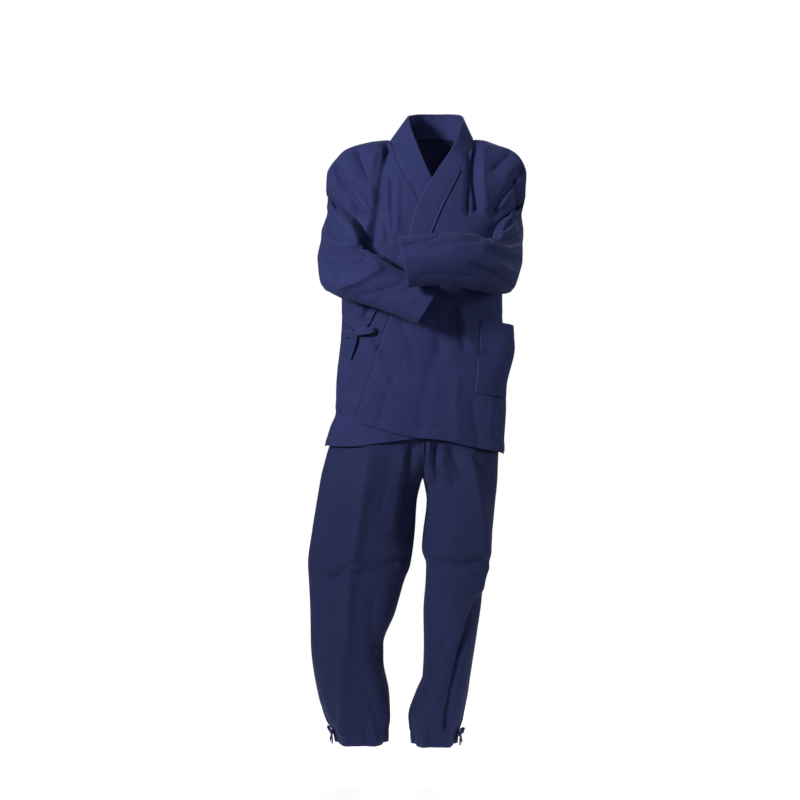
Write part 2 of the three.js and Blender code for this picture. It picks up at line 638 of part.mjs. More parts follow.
// One closed wall from a grid of cloth pairs; a round one joins its last column to its first
function wallGeometry(grid, round = false) {
  const rows = grid.length;
  const columns = grid[0].length;
  const positions = [];
  for (const face of ["outer", "inner"]) {
    for (const row of grid) for (const pair of row) positions.push(...pair[face].toArray());
  }
  const index = [];
  const layer = rows * columns;
  const at = (row, column, side) => side * layer + row * columns + (column % columns);
  const quad = (a, b, c, d) => index.push(a, b, c, a, c, d);
  const lastColumn = round ? columns : columns - 1;
  for (let i = 0; i < rows - 1; i += 1) {
    for (let j = 0; j < lastColumn; j += 1) {
      quad(at(i, j, 0), at(i, j + 1, 0), at(i + 1, j + 1, 0), at(i + 1, j, 0));
      index.push(at(i, j, 1), at(i + 1, j + 1, 1), at(i, j + 1, 1));
      index.push(at(i, j, 1), at(i + 1, j, 1), at(i + 1, j + 1, 1));
    }
  }
  for (let j = 0; j < lastColumn; j += 1) {
    quad(at(0, j, 1), at(0, j + 1, 1), at(0, j + 1, 0), at(0, j, 0));
    quad(at(rows - 1, j, 0), at(rows - 1, j + 1, 0), at(rows - 1, j + 1, 1), at(rows - 1, j, 1));
  }
  if (!round) {
    for (let i = 0; i < rows - 1; i += 1) {
      quad(at(i, 0, 0), at(i + 1, 0, 0), at(i + 1, 0, 1), at(i, 0, 1));
      quad(at(i, lastColumn, 1), at(i + 1, lastColumn, 1), at(i + 1, lastColumn, 0), at(i, lastColumn, 0));
    }
  }
  return facingOut(positions, index);
}

// Turns a closed surface so that its faces point out of the material
function facingOut(positions, index) {
  const a = new THREE.Vector3();
  const b = new THREE.Vector3();
  const c = new THREE.Vector3();
  let volume = 0;
  for (let i = 0; i < index.length; i += 3) {
    a.fromArray(positions, index[i] * 3);
    b.fromArray(positions, index[i + 1] * 3);
    c.fromArray(positions, index[i + 2] * 3);
    volume += a.dot(b.cross(c));
  }
  const turned = [];
  for (let i = 0; i < index.length; i += 3) {
    if (volume > 0) turned.push(index[i], index[i + 1], index[i + 2]);
    else turned.push(index[i], index[i + 2], index[i + 1]);
  }
  const geometry = new THREE.BufferGeometry();
  geometry.setAttribute("position", new THREE.Float32BufferAttribute(positions, 3));
  geometry.setIndex(turned);
  return geometry;
}

const flat = () => 0;
const collarColumns = 3;
const collarLook = 3;
const collarProud = 1.8;
const collarEndGap = 0.5;
const collarRaise = 1.3;
const standOf = curveOf(standingCollar, "over", "stand");
const standingEdge = Object.fromEntries(["left", "right"].map((side) => {
  const axes = [0, 1, 2].map((axis) => {
    const rows = standingCollar.map((row) => ({ over: row.over, value: row[side][axis] }));
    return curveOf(rows, "over", "value");
  });
  return [side, (over) => new THREE.Vector3(...axes.map((axis) => axis(over)))];
}));
const hemOf = {
  leftFront: curveOf(hemLeftFront, "x", "z"),
  rightFront: curveOf(hemRightFront, "x", "z"),
  back: curveOf(hemBack, "x", "z"),
};

// Rows up the torso and over the shoulder arch
const lowerRows = 13;
const overlapRows = 10;
const overlapColumns = 4;
const overlapTop = overlapRows / lowerRows;
const neckDrop = 19;
const archAngles = [2, 6, 12, 20, 30, 42, 54, 64, 71, 72.45, 76.6, 82.7, 90];
const bodyColumns = 11;
const climbRows = [];
for (let i = 0; i <= lowerRows; i += 1) climbRows.push(i / lowerRows);
for (const angle of archAngles) climbRows.push(1 + angle / 90);

// The armhole as across-by-climb, from the underarm up to the ridge
function armholeCurve(points, sign, face) {
  const rows = [{ climb: 1, across: sign }];
  for (const { x, z } of points) {
    const across = acrossAt(x, z, face);
    rows.push({ climb: climbAt(across, z, flat), across });
  }
  rows.push({ climb: 2, across: sign * sleeveSeamAcross });
  return curveOf(rows, "climb", "across");
}

// Outer edge of a main panel: the side seam with its slit, then the armhole
function outerEdge(sign, face, armhole) {
  const side = sign > 0 ? "left" : "right";
  return (climb, hem) => {
    if (climb >= 1) return armhole(climb);
    const z = jacketPoint(sign, climb, face, hem).z;
    const open = Math.max(0, (slitTop[side] - z) / slitFlare);
    return sign * (1 - slitOpening * Math.min(1, open));
  };
}

// Where the line x(z) crosses a row of the front
function acrossOnLine(line, climb, face, hem, shift) {
  const difference = (across) => {
    const point = jacketPoint(across, climb, face, hem);
    return point.x - line(point.z) - shift;
  };
  return solve(difference, -widestSearch, widestSearch);
}

const neckLineLeft = curveOf(collarLines, "z", "seamLeft");
const neckLineRight = curveOf(collarLines, "z", "seamRight");
const collarEdgeLeft = curveOf(collarLines, "z", "edgeLeft");
const collarEdgeRight = curveOf(collarLines, "z", "edgeRight");
const overlapLineLeft = curveOf(overlapSeamLeft, "z", "x");
const overlapLineRight = curveOf(overlapSeamRight, "z", "x");
const freeLineLeft = curveOf(freeEdgeLeft, "z", "x");
const freeLineRight = curveOf(freeEdgeRight, "z", "x");

function mainPanel(sign) {
  const isLeft = sign > 0;
  const frontHem = isLeft ? hemOf.leftFront : hemOf.rightFront;
  const lift = isLeft ? leftLift : flat;
  const neckLine = isLeft ? neckLineLeft : neckLineRight;
  const overlapLine = isLeft ? overlapLineLeft : overlapLineRight;
  const frontArmhole = armholeCurve(isLeft ? armholes.leftFront : armholes.rightFront, sign, "front");
  const backArmhole = armholeCurve(isLeft ? armholes.leftBack : armholes.rightBack, sign, "back");
  const frontOuter = outerEdge(sign, "front", frontArmhole);
  const backOuter = outerEdge(sign, "back", backArmhole);
  const halfGap = (sign * seamGap) / 2;
  const neckAcross = acrossOnLine(neckLine, 2, "front", frontHem, 0);
  const grid = [];
  for (const climb of climbRows) {
    const line = climb <= overlapTop ? overlapLine : neckLine;
    const from = acrossOnLine(line, climb, "front", frontHem, halfGap);
    const to = frontOuter(climb, frontHem);
    grid.push(panelRow(from, to, climb, "front", frontHem, lift));
  }
  for (const climb of [...climbRows].reverse().slice(1)) {
    const dropped = Math.min(1, (90 * (2 - climb)) / neckDrop);
    const centre = acrossOnLine(centreLine, climb, "back", hemOf.back, halfGap);
    const from = lerp(centre, neckAcross, Math.sqrt(Math.max(0, 1 - dropped * dropped)));
    const to = backOuter(climb, hemOf.back);
    grid.push(panelRow(from, to, climb, "back", hemOf.back, flat));
  }
  return grid;
}

// The centre back seam leans with the wearer, from the hem to the neck
function centreLine(z) {
  const low = Math.min(z, chestHeight);
  const lowCentre = (ring.left(low) + ring.right(low)) / 2;
  return lerp(lowCentre, neckCentre, smooth(chestHeight, neckBaseHeight, z));
}

function panelRow(from, to, climb, face, hem, lift) {
  const row = [];
  for (let j = 0; j <= bodyColumns; j += 1) {
    row.push(jacketPair(lerp(from, to, j / bodyColumns), climb, face, hem, lift));
  }
  return row;
}

// The strip on a front's free edge, from the hem to the collar's end
function overlapStrip(isLeft) {
  const hem = isLeft ? hemOf.leftFront : hemOf.rightFront;
  const lift = isLeft ? leftLift : flat;
  const seam = isLeft ? overlapLineLeft : overlapLineRight;
  const free = isLeft ? freeLineLeft : freeLineRight;
  const halfGap = ((isLeft ? 1 : -1) * seamGap) / 2;
  return climbRows.filter((climb) => climb <= overlapTop).map((climb) => {
    const from = acrossOnLine(free, climb, "front", hem, 0);
    const to = acrossOnLine(seam, climb, "front", hem, -halfGap);
    const row = [];
    for (let j = 0; j <= overlapColumns; j += 1) {
      row.push(jacketPair(lerp(from, to, j / overlapColumns), climb, "front", hem, lift));
    }
    return row;
  });
}

// The panel's inner edge as the collar's seam, from the overlap's top to the centre of the back
function collarSeam(panel) {
  const first = Math.round(overlapTop * lowerRows);
  const last = climbRows.length - 1 + archAngles.filter((angle) => angle < 90 && angle >= 90 - neckDrop).length;
  const seam = [];
  for (let i = first; i <= last; i += 1) {
    const below = i < climbRows.length ? panel[i] : panel[Math.min(i + collarLook, panel.length - 1)];
    const climb = i < climbRows.length ? climbRows[i] : 4 - climbRows[2 * climbRows.length - 2 - i];
    seam.push({ pair: panel[i][0], inside: below[collarLook].outer, climb });
  }
  const lowest = seam[0].pair;
  const raised = new THREE.Vector3(0, 0, collarEndGap);
  seam[0].pair = { ...lowest, outer: lowest.outer.clone().add(raised), inner: lowest.inner.clone().add(raised) };
  seam[0].climb += collarEndGap / (chestHeight - hemOf.leftFront(0));
  return seam;
}

// One row of the collar, from its seam to its free edge
function collarRow(entry, along, isLeft) {
  const { pair, inside, climb } = entry;
  const over = (climb - 1) * 90;
  const side = isLeft ? "left" : "right";
  const stand = standOf(Math.max(over, standingCollar[0].over));
  const away = along.clone().cross(pair.normal).normalize();
  if (away.dot(pair.outer.clone().sub(inside)) < 0) away.negate();
  const base = pair.outer.clone().addScaledVector(away, seamGap).addScaledVector(pair.normal, collarRaise * stand);
  const edge = standingEdge[side](over);
  const upright = edge.clone().sub(base);
  const outward = along.clone().cross(upright).normalize();
  if (outward.dot(new THREE.Vector3(base.x - neckCentre, base.y, 0)) < 0) outward.negate();
  const lift = isLeft ? leftLift : flat;
  const rise = isLeft ? collarEdgeLeft : collarEdgeRight;
  const hem = isLeft ? hemOf.leftFront : hemOf.rightFront;
  const row = [];
  for (let j = 0; j <= collarColumns; j += 1) {
    const share = j / collarColumns;
    const standNormal = pair.normal.clone().lerp(outward, Math.min(1, share * collarTurn.rate + collarTurn.start)).normalize();
    const standing = clothPair(base.clone().addScaledVector(upright, share), standNormal, collarProud, collarWall);
    if (stand >= 1) {
      row.push(standing);
      continue;
    }
    const seamNormal = pair.normal.clone();
    let lying = clothPair(base, seamNormal, collarProud, collarWall);
    if (j > 0) {
      const from = acrossAt(base.x, base.z, "front");
      const to = acrossOnLine(rise, climb, "front", hem, 0);
      lying = jacketPair(lerp(from, to, share), climb, "front", hem, lift, collarWall, collarProud);
    }
    row.push({
      outer: lying.outer.lerp(standing.outer, stand),
      inner: lying.inner.lerp(standing.inner, stand),
      normal: lying.normal,
    });
  }
  return row;
}

function collarGrid(left, right) {
  const leftSeam = collarSeam(left);
  const rightSeam = collarSeam(right);
  const centre = leftSeam.pop();
  const centreRight = rightSeam.pop();
  centre.pair = {
    outer: centre.pair.outer.clone().lerp(centreRight.pair.outer, 0.5),
    inner: centre.pair.inner.clone().lerp(centreRight.pair.inner, 0.5),
    normal: centre.pair.normal.clone().lerp(centreRight.pair.normal, 0.5).normalize(),
  };
  const path = [...leftSeam, centre, ...rightSeam.reverse()];
  return path.map((entry, i) => {
    const behind = path[Math.max(0, i - 1)].pair.outer;
    const ahead = path[Math.min(path.length - 1, i + 1)].pair.outer;
    return collarRow(entry, ahead.clone().sub(behind), i <= leftSeam.length);
  });
}

function catmullRom(before, from, to, after, t) {
  const point = new THREE.Vector3();
  for (const axis of ["x", "y", "z"]) {
    const lead = (to[axis] - before[axis]) / 2;
    const trail = (after[axis] - from[axis]) / 2;
    const change = to[axis] - from[axis];
    const square = 3 * change - 2 * lead - trail;
    const cube = lead + trail - 2 * change;
    point[axis] = from[axis] + lead * t + square * t * t + cube * t * t * t;
  }
  return point;
}

// How far round the sleeve each armhole point lies, by length, with the ridge half way round
function turnsAlong(points, half) {
  const lengths = [0];
  for (let k = 0; k < points.length; k += 1) {
    lengths.push(lengths[k] + points[k].distanceTo(points[(k + 1) % points.length]));
  }
  const atRidge = lengths[half];
  const whole = lengths[points.length];
  return points.map((point, k) => {
    if (k <= half) return (lengths[k] / atRidge) * Math.PI;
    return Math.PI * (1 + (lengths[k] - atRidge) / (whole - atRidge));
  });
}

// A sleeve: its first ring is the armhole edge of the main panel, then the rings of its table
function sleeveGrid(panel, sign, rings) {
  const armRows = archAngles.length;
  const frontEdge = panel.slice(lowerRows, lowerRows + armRows + 1);
  const backEdge = panel.slice(lowerRows + armRows, lowerRows + 2 * armRows + 1);
  const loop = [];
  for (const row of frontEdge) loop.push(row);
  for (const row of backEdge.slice(1, -1)) loop.push(row);
  const count = loop.length;
  const edge = loop.map((row) => row[bodyColumns]);
  const inside = loop.map((row) => row[bodyColumns - 1]);
  const start = edge.map((pair, k) => {
    const ahead = edge[(k + 1) % count].outer;
    const behind = edge[(k + count - 1) % count].outer;
    const away = ahead.clone().sub(behind).cross(pair.normal).normalize();
    if (away.dot(pair.outer.clone().sub(inside[k].outer)) < 0) away.negate();
    return { outer: pair.outer.clone().addScaledVector(away, sleeveSeamGap), away, normal: pair.normal };
  });
  const armholeTurns = turnsAlong(edge.map((pair) => pair.outer), armRows);
  const shapes = rings.map((row, ringNumber) => {
    const evened = smooth(0, rings.length - 1, ringNumber);
    const inner = new THREE.Vector3(...row.inner);
    const outer = new THREE.Vector3(...row.outer);
    const front = new THREE.Vector3(...row.front);
    const back = new THREE.Vector3(...row.back);
    const centre = inner.clone().add(outer).add(front).add(back).multiplyScalar(0.25);
    return start.map((entry, k) => {
      const turn = lerp(armholeTurns[k], (k / count) * 2 * Math.PI, evened) - Math.PI / 2;
      const toSide = Math.cos(turn) > 0 ? inner : outer;
      const toFace = Math.sin(turn) > 0 ? front : back;
      const sideways = Math.abs(Math.cos(turn)) ** (2 / sleeveSquareness);
      const facing = Math.abs(Math.sin(turn)) ** (2 / sleeveSquareness);
      return centre.clone()
        .addScaledVector(toSide.clone().sub(centre), sideways)
        .addScaledVector(toFace.clone().sub(centre), facing);
    });
  });
  shapes.unshift(start.map((entry) => entry.outer));
  const surface = [];
  const last = shapes.length - 1;
  for (let i = 0; i <= sleeveRows; i += 1) {
    const place = (i / sleeveRows) * last;
    const from = Math.min(last - 1, Math.floor(place));
    surface.push(start.map((entry, k) => {
      const pick = (n) => shapes[Math.min(last, Math.max(0, n))][k];
      return catmullRom(pick(from - 1), pick(from), pick(from + 1), pick(from + 2), place - from);
    }));
  }
  return surface.map((row, i) => row.map((point, k) => {
    const around = row[(k + 1) % count].clone().sub(row[(k + count - 1) % count]);
    const along = surface[Math.min(i + 1, sleeveRows)][k].clone().sub(surface[Math.max(0, i - 1)][k]);
    const normal = around.cross(along).normalize().multiplyScalar(-sign);
    if (i === 0) {
      const agreement = normal.dot(start[k].normal);
      normal.lerp(start[k].normal, smooth(seamAgreement.from, seamAgreement.to, agreement));
      const intoBody = Math.max(0, normal.dot(start[k].away));
      normal.addScaledVector(start[k].away, -intoBody).normalize();
      return clothPair(point, normal, 0, clothWall);
    }
    const facing = smooth(sleeveFacing.from, sleeveFacing.to, -normal.y) * smooth(0, sleeveFacing.rows, i);
    return clothPair(point, normal, -foldDepth(sleeveFolds, point.x, point.z) * facing, clothWall);
  }));
}

// A leg panel: from the side seam over the front or back to the inner seam
function legCurves(rows) {
  const columns = ["side", "inner", "crest", "front", "back", "innerFront", "innerBack"];
  return Object.fromEntries(columns.map((column) => [column, curveOf(rows, "z", column)]));
}

function legPoint(curves, share, z, face) {
  const side = curves.side(z);
  const inner = curves.inner(z);
  const depth = curves[face](z);
  const innerDepth = curves[face === "front" ? "innerFront" : "innerBack"](z);
  const middle = curves.crest(z);
  const turn = share * Math.PI;
  const power = 2 / legSquareness;
  const sideways = Math.abs(Math.cos(turn)) ** power;
  const facing = Math.abs(Math.sin(turn)) ** power;
  if (share <= 0.5) return new THREE.Vector3(lerp(middle, side, sideways), depth * facing, z);
  return new THREE.Vector3(lerp(middle, inner, sideways), lerp(innerDepth, depth, facing), z);
}

function legGrid(rows, sign, face) {
  const curves = legCurves(rows);
  const low = rows[0].z;
  const high = rows[rows.length - 1].z;
  const folds = face === "front" ? trouserFolds : trouserBackFolds;
  const apart = ((face === "front" ? -1 : 1) * seamGap) / 2;
  const grid = [];
  for (let i = 0; i <= legRows; i += 1) {
    const z = lerp(low, high, i / legRows);
    const row = [];
    for (let j = 0; j <= legColumns; j += 1) {
      const share = j / legColumns;
      const point = legPoint(curves, share, z, face);
      const normal = legNormal(curves, share, z, face, low, high, sign);
      if (share === 1 && z > crotchHeight) normal.setX(0).normalize();
      else if (share === 0 || share === 1) normal.setY(0).normalize();
      const towardsSeam = smooth(0, seamCalm.side, share) * smooth(1, seamCalm.inner, share);
      const gather = gatherDepth * smooth(gatherTop, low + gatherRise, z) * Math.cos(share * Math.PI * 2 * gatherWaves);
      const offset = gather * towardsSeam - foldDepth(folds, point.x, point.z) * towardsSeam;
      const pair = clothPair(point, normal, offset, clothWall);
      const centre = sign * smooth(legCentreFrom, 1, share) * (seamGap / 2);
      for (const side of ["outer", "inner"]) {
        pair[side].y += apart;
        pair[side].x += centre;
      }
      row.push(pair);
    }
    grid.push(row);
  }
  return grid;
}

function legNormal(curves, share, z, face, low, high, sign) {
  const step = legSurfaceStep;
  const ahead = legPoint(curves, Math.min(1, share + step.share), z, face);
  const behind = legPoint(curves, Math.max(0, share - step.share), z, face);
  const upper = legPoint(curves, share, Math.min(high, z + step.height), face);
  const lower = legPoint(curves, share, Math.max(low, z - step.height), face);
  const normal = ahead.sub(behind).cross(upper.sub(lower)).normalize();
  return normal.multiplyScalar((face === "front" ? 1 : -1) * -sign);
}

// A place on the facets of a panel's front, found by its x and z, moved out by a distance
function onCloth(grid, x, z, out) {
  let best = null;
  const rows = Math.min(climbRows.length, grid.length);
  for (let i = 0; i < rows - 1; i += 1) {
    for (let j = 0; j < grid[i].length - 1; j += 1) {
      const corner = grid[i][j];
      const across = grid[i][j + 1];
      const opposite = grid[i + 1][j + 1];
      const above = grid[i + 1][j];
      for (const facet of [[corner, across, opposite], [corner, opposite, above]]) {
        const shares = sharesOf(facet.map((pair) => pair.outer), x, z);
        const inside = Math.min(...shares);
        if (best === null || inside > best.inside) best = { inside, shares, facet };
      }
    }
  }
  const point = new THREE.Vector3();
  const normal = new THREE.Vector3();
  best.facet.forEach((pair, k) => {
    point.addScaledVector(pair.outer, best.shares[k]);
    normal.addScaledVector(pair.normal, best.shares[k]);
  });
  normal.normalize();
  return { point: point.addScaledVector(normal, out), normal };
}

function sharesOf([a, b, c], x, z) {
  const whole = (b.z - c.z) * (a.x - c.x) + (c.x - b.x) * (a.z - c.z);
  const first = ((b.z - c.z) * (x - c.x) + (c.x - b.x) * (z - c.z)) / whole;
  const second = ((c.z - a.z) * (x - c.x) + (a.x - c.x) * (z - c.z)) / whole;
  return [first, second, 1 - first - second];
}

// The patch pocket lies on the left front, its mouth standing off
function pocketGrid(panel) {
  const innerEdge = curveOf(pocketSides, "z", "inner");
  const outerSide = curveOf(pocketSides, "z", "outer");
  const low = pocketSides[0].z;
  const high = pocketSides[pocketSides.length - 1].z;
  const grid = [];
  for (let i = 0; i <= pocketSteps; i += 1) {
    const z = lerp(low, high, i / pocketSteps);
    const from = acrossAt(innerEdge(z), z, "front");
    const to = acrossAt(outerSide(z), z, "front");
    const row = [];
    for (let j = 0; j <= pocketSteps; j += 1) {
      const share = j / pocketSteps;
      const x = torsoPoint(lerp(from, to, share), z, "front").x;
      const bulge = smooth(0, pocketBulge.rising, share) * (1 - smooth(pocketBulge.falling, 1, share));
      const gape = pocketGape * smooth(pocketGapeRise.from, pocketGapeRise.to, i / pocketSteps) * bulge;
      const tilt = lerp(pocketTilt.inner, pocketTilt.outer, share);
      const { point, normal } = onCloth(panel, x, z + tilt, pocketEase + clothWall + gape);
      row.push(clothPair(point, normal, 0, clothWall));
    }
    grid.push(row);
  }
  return grid;
}

// A flat ribbon along a smooth line of points; ways say where its width points at each of them
function ribbonGeometry(line, ways, width, wall, steps) {
  const grid = [];
  const last = line.length - 1;
  for (let i = 0; i <= steps; i += 1) {
    const place = (i / steps) * last;
    const k = Math.min(last - 1, Math.floor(place));
    const pick = (n) => line[Math.min(last, Math.max(0, n))];
    const at = (t) => catmullRom(pick(k - 1), pick(k), pick(k + 1), pick(k + 2), t);
    const t = place - k;
    const middle = at(t);
    const along = at(Math.min(1, t + ribbonLook)).sub(at(Math.max(0, t - ribbonLook))).normalize();
    const across = ways[k].clone().lerp(ways[k + 1], t);
    across.addScaledVector(along, -across.dot(along)).normalize();
    const face = along.clone().cross(across).normalize();
    grid.push([-0.5, 0.5].map((share) => {
      return clothPair(middle.clone().addScaledVector(across, share * width), face, wall / 2, wall);
    }));
  }
  return wallGeometry(grid);
}

function knotGeometry(centre, normal, shape) {
  const up = new THREE.Vector3(0, 0, 1);
  const aside = up.clone().cross(normal).normalize();
  const level = normal.clone().cross(aside).normalize();
  const turned = new THREE.Matrix4().makeBasis(aside, level, normal);
  const knot = new THREE.SphereGeometry(1, knotFaces.around, knotFaces.down);
  knot.scale(shape.aside, shape.up, shape.thick);
  knot.applyMatrix4(turned);
  knot.translate(centre.x, centre.y, centre.z);
  return knot;
}

// Ribbons of the waist tie follow the front: loops stand on edge, the rest lie flat
function tieRibbon(panel, { loop, rows }, steps) {
  const places = rows.map(({ x, z, out }) => onCloth(panel, x, z, out));
  const line = places.map((place) => place.point);
  const ways = places.map(({ normal }, k) => {
    if (loop) return new THREE.Vector3(0, 0, 1);
    const along = line[Math.min(k + 1, line.length - 1)].clone().sub(line[Math.max(k - 1, 0)]);
    return along.cross(normal).normalize();
  });
  return ribbonGeometry(line, ways, tieWidth, tieWall, steps);
}

function waistBow(panel) {
  const { point, normal } = onCloth(panel, waistKnot.x, waistKnot.z, waistKnot.out);
  const ribbons = waistRibbons.map((ribbon) => tieRibbon(panel, ribbon, ribbon.rows.length + extraTieSteps));
  return joined([knotGeometry(point, normal, waistKnot), ...ribbons]);
}

// An ankle bow stands on the leg's outer side
function ankleBow(side) {
  const sign = side === "left" ? 1 : -1;
  const { share, z, off } = ankleBowPlaces[side];
  const curves = legCurves(legRings[side]);
  const normal = legNormal(curves, share, z, "front", 0, z * 2, sign);
  normal.z = 0;
  normal.normalize();
  const centre = legPoint(curves, share, z, "front").addScaledVector(normal, off);
  const up = new THREE.Vector3(0, 0, 1);
  const forward = up.clone().cross(normal).normalize();
  if (forward.y > 0) forward.negate();
  const placed = ([aside, rise, out]) => new THREE.Vector3()
    .addScaledVector(forward, aside).addScaledVector(up, rise).addScaledVector(normal, out);
  const ribbons = ankleRibbons.map(({ way, rows }) => {
    const line = rows.map((row) => placed(row).add(centre));
    const ways = rows.map(() => placed(way).normalize());
    return ribbonGeometry(line, ways, drawstringWidth, drawstringWall, rows.length * 2);
  });
  return joined([knotGeometry(centre, normal, ankleKnot), ...ribbons]);
}

// Joins closed geometries into one solid
function joined(geometries) {
  const solids = geometries.map((geometry) => {
    const bare = geometry.clone();
    bare.deleteAttribute("normal");
    bare.deleteAttribute("uv");
    const merged = mergeVertices(bare, 0.001);
    return new wasm.Manifold(new wasm.Mesh({
      numProp: 3,
      vertProperties: new Float32Array(merged.attributes.position.array),
      triVerts: new Uint32Array(merged.index.array),
    }));
  });
  const mesh = solids.reduce((sum, solid) => sum.add(solid)).simplify(joinTolerance).getMesh();
  const geometry = new THREE.BufferGeometry();
  geometry.setAttribute("position", new THREE.BufferAttribute(new Float32Array(mesh.vertProperties), 3));
  geometry.setIndex(Array.from(mesh.triVerts));
  return geometry;
}

const samue = new THREE.Group();

function addPiece(name, geometry, colour) {
  geometry.translate(-restPoint.x, -restPoint.y, -restPoint.z);
  const material = new THREE.MeshStandardMaterial({ color: colour, roughness: clothRoughness, metalness: 0 });
  const mesh = new THREE.Mesh(geometry, material);
  mesh.name = name;
  samue.add(mesh);
}

const leftPanel = mainPanel(1);
const rightPanel = mainPanel(-1);
addPiece("body_left", wallGeometry(leftPanel), navy);
addPiece("body_right", wallGeometry(rightPanel), navy);
const leftStrip = overlapStrip(true);
addPiece("overlap_left", wallGeometry(leftStrip), navy);
addPiece("overlap_right", wallGeometry(overlapStrip(false)), navy);
addPiece("collar", wallGeometry(collarGrid(leftPanel, rightPanel)), darkNavy);
addPiece("sleeve_left", wallGeometry(sleeveGrid(leftPanel, 1, leftSleeveRings), true), navy);
addPiece("sleeve_right", wallGeometry(sleeveGrid(rightPanel, -1, rightSleeveRings), true), navy);
addPiece("pocket", wallGeometry(pocketGrid(leftPanel)), navy);
addPiece("tie_strap_front", tieRibbon(leftStrip, frontStrap, 6), navy);
addPiece("tie_strap_side", tieRibbon(rightPanel, sideStrap, 6), navy);
addPiece("tie_bow", waistBow(rightPanel), navy);
for (const side of ["right", "left"]) {
  const sign = side === "left" ? 1 : -1;
  for (const face of ["front", "back"]) {
    addPiece(`leg_${side}_${face}`, wallGeometry(legGrid(legRings[side], sign, face)), navy);
  }
  addPiece(`ankle_bow_${side}`, ankleBow(side), darkNavy);
}

export default samue;
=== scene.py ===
import bisect, math
import bpy, bmesh
from mathutils import Matrix, Vector, noise


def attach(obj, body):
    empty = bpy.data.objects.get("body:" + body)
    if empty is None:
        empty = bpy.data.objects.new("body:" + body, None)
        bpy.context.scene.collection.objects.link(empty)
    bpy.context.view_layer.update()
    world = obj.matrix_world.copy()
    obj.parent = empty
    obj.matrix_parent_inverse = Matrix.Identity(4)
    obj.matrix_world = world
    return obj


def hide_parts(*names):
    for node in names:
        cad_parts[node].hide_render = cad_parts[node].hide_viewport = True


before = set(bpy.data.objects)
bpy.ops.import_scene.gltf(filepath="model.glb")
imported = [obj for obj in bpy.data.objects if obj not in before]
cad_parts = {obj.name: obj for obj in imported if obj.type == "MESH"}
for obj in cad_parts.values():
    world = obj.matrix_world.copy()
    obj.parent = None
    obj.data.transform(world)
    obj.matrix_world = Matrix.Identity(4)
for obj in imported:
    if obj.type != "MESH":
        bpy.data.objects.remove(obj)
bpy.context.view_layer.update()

# A samue, worn: wrap jacket with crossed sleeves, and gathered trousers. Sizes in mm from the ground up,
# until place() turns them into metres round the neck.
restPoint = Vector((8, 9, 1464))   # where the wearer's neck carries the set


def place(p):
    return (p - restPoint) / 1000


def lerp(a, b, t):
    return a + (b - a) * t


def smooth(a, b, v):
    t = min(1, max(0, (v - a) / (b - a)))
    return t * t * (3 - 2 * t)


def curveOf(keys, values):   # smooth through every value, no overshoot
    last = len(keys) - 1
    slopes = [(values[i + 1] - values[i]) / (keys[i + 1] - keys[i]) for i in range(last)]
    tangents = [slopes[0]]
    for before, after in zip(slopes, slopes[1:]):
        tangents.append(0 if before * after <= 0 else 2 * before * after / (before + after))
    tangents.append(slopes[-1])

    def at(key):
        if key <= keys[0]:
            return values[0]
        if key >= keys[last]:
            return values[last]
        i = bisect.bisect_right(keys, key) - 1
        span = keys[i + 1] - keys[i]
        t = (key - keys[i]) / span
        lead = t * (1 - t) * (1 - t) * tangents[i] * span
        trail = t * t * (1 - t) * tangents[i + 1] * span
        return values[i] + (values[i + 1] - values[i]) * t * t * (3 - 2 * t) + lead - trail
    return at


def solve(difference, low, high):
    for step in range(26):
        middle = (low + high) / 2
        if difference(middle) < 0:
            low = middle
        else:
            high = middle
    return (low + high) / 2


def catmullRom(before, a, b, after, t):
    lead = (b - before) / 2
    trail = (after - a) / 2
    change = b - a
    return a + lead * t + (3 * change - 2 * lead - trail) * t * t + (lead + trail - 2 * change) * t ** 3


def finer(values, parts):   # the same values with steps between them
    steps = [lerp(a, b, k / parts) for a, b in zip(values, values[1:]) for k in range(parts)]
    return steps + [values[-1]]


# Materials

def linear(hexColour):   # sRGB hex to the linear numbers Blender wants
    parts = [int(hexColour[i:i + 2], 16) / 255 for i in (1, 3, 5)]
    return [c / 12.92 if c <= 0.04045 else ((c + 0.055) / 1.055) ** 2.4 for c in parts] + [1.0]


def addNode(tree, kind, sockets=None, links=None, **settings):
    node = tree.nodes.new(kind)
    for key, value in settings.items():
        setattr(node, key, value)
    for key, value in (sockets or {}).items():
        node.inputs[key].default_value = value
    for key, source in (links or {}).items():
        tree.links.new(source, node.inputs[key])
    return node


def newMaterial(name):
    material = bpy.data.materials.new(name)
    material.use_nodes = True
    tree = material.node_tree
    return material, tree, tree.nodes["Principled BSDF"]


def mixColours(tree, amount, first, second, blend="MIX"):   # each a value, or the output of another node
    mix = addNode(tree, "ShaderNodeMix", data_type="RGBA", blend_type=blend)
    for socket, source in ((0, amount), (6, first), (7, second)):
        if isinstance(source, bpy.types.NodeSocket):
            tree.links.new(source, mix.inputs[socket])
        else:
            mix.inputs[socket].default_value = source
    return mix.outputs[2]


cloth = {
    "navy": "#252b56",
    "trouserNavyPaintedShade": "#20264b",   # the trousers' navy is darker than the jacket's: painted shade, since the legs lie lower and further from the lights
    "deepNavy": "#1b2044",      # where the dye sits thick
    "wornNavy": "#3a4270",      # rubbed edges
    "cordNavy": "#252a55",
    "stitchNavy": "#2c3362",
    "looseFibre": "#9aa3d8",
    "threadSpacing": 1.1,       # real yarns lie about 0.45 mm apart, too fine for the render: coarser here
    "slubLength": 26,           # thick places in the yarn, mm
    "slubsAcross": 900,         # side by side in a metre
    "roughness": 0.82,
}
waveTurn = 6.283   # a wave texture of scale 1 repeats once in 2 pi


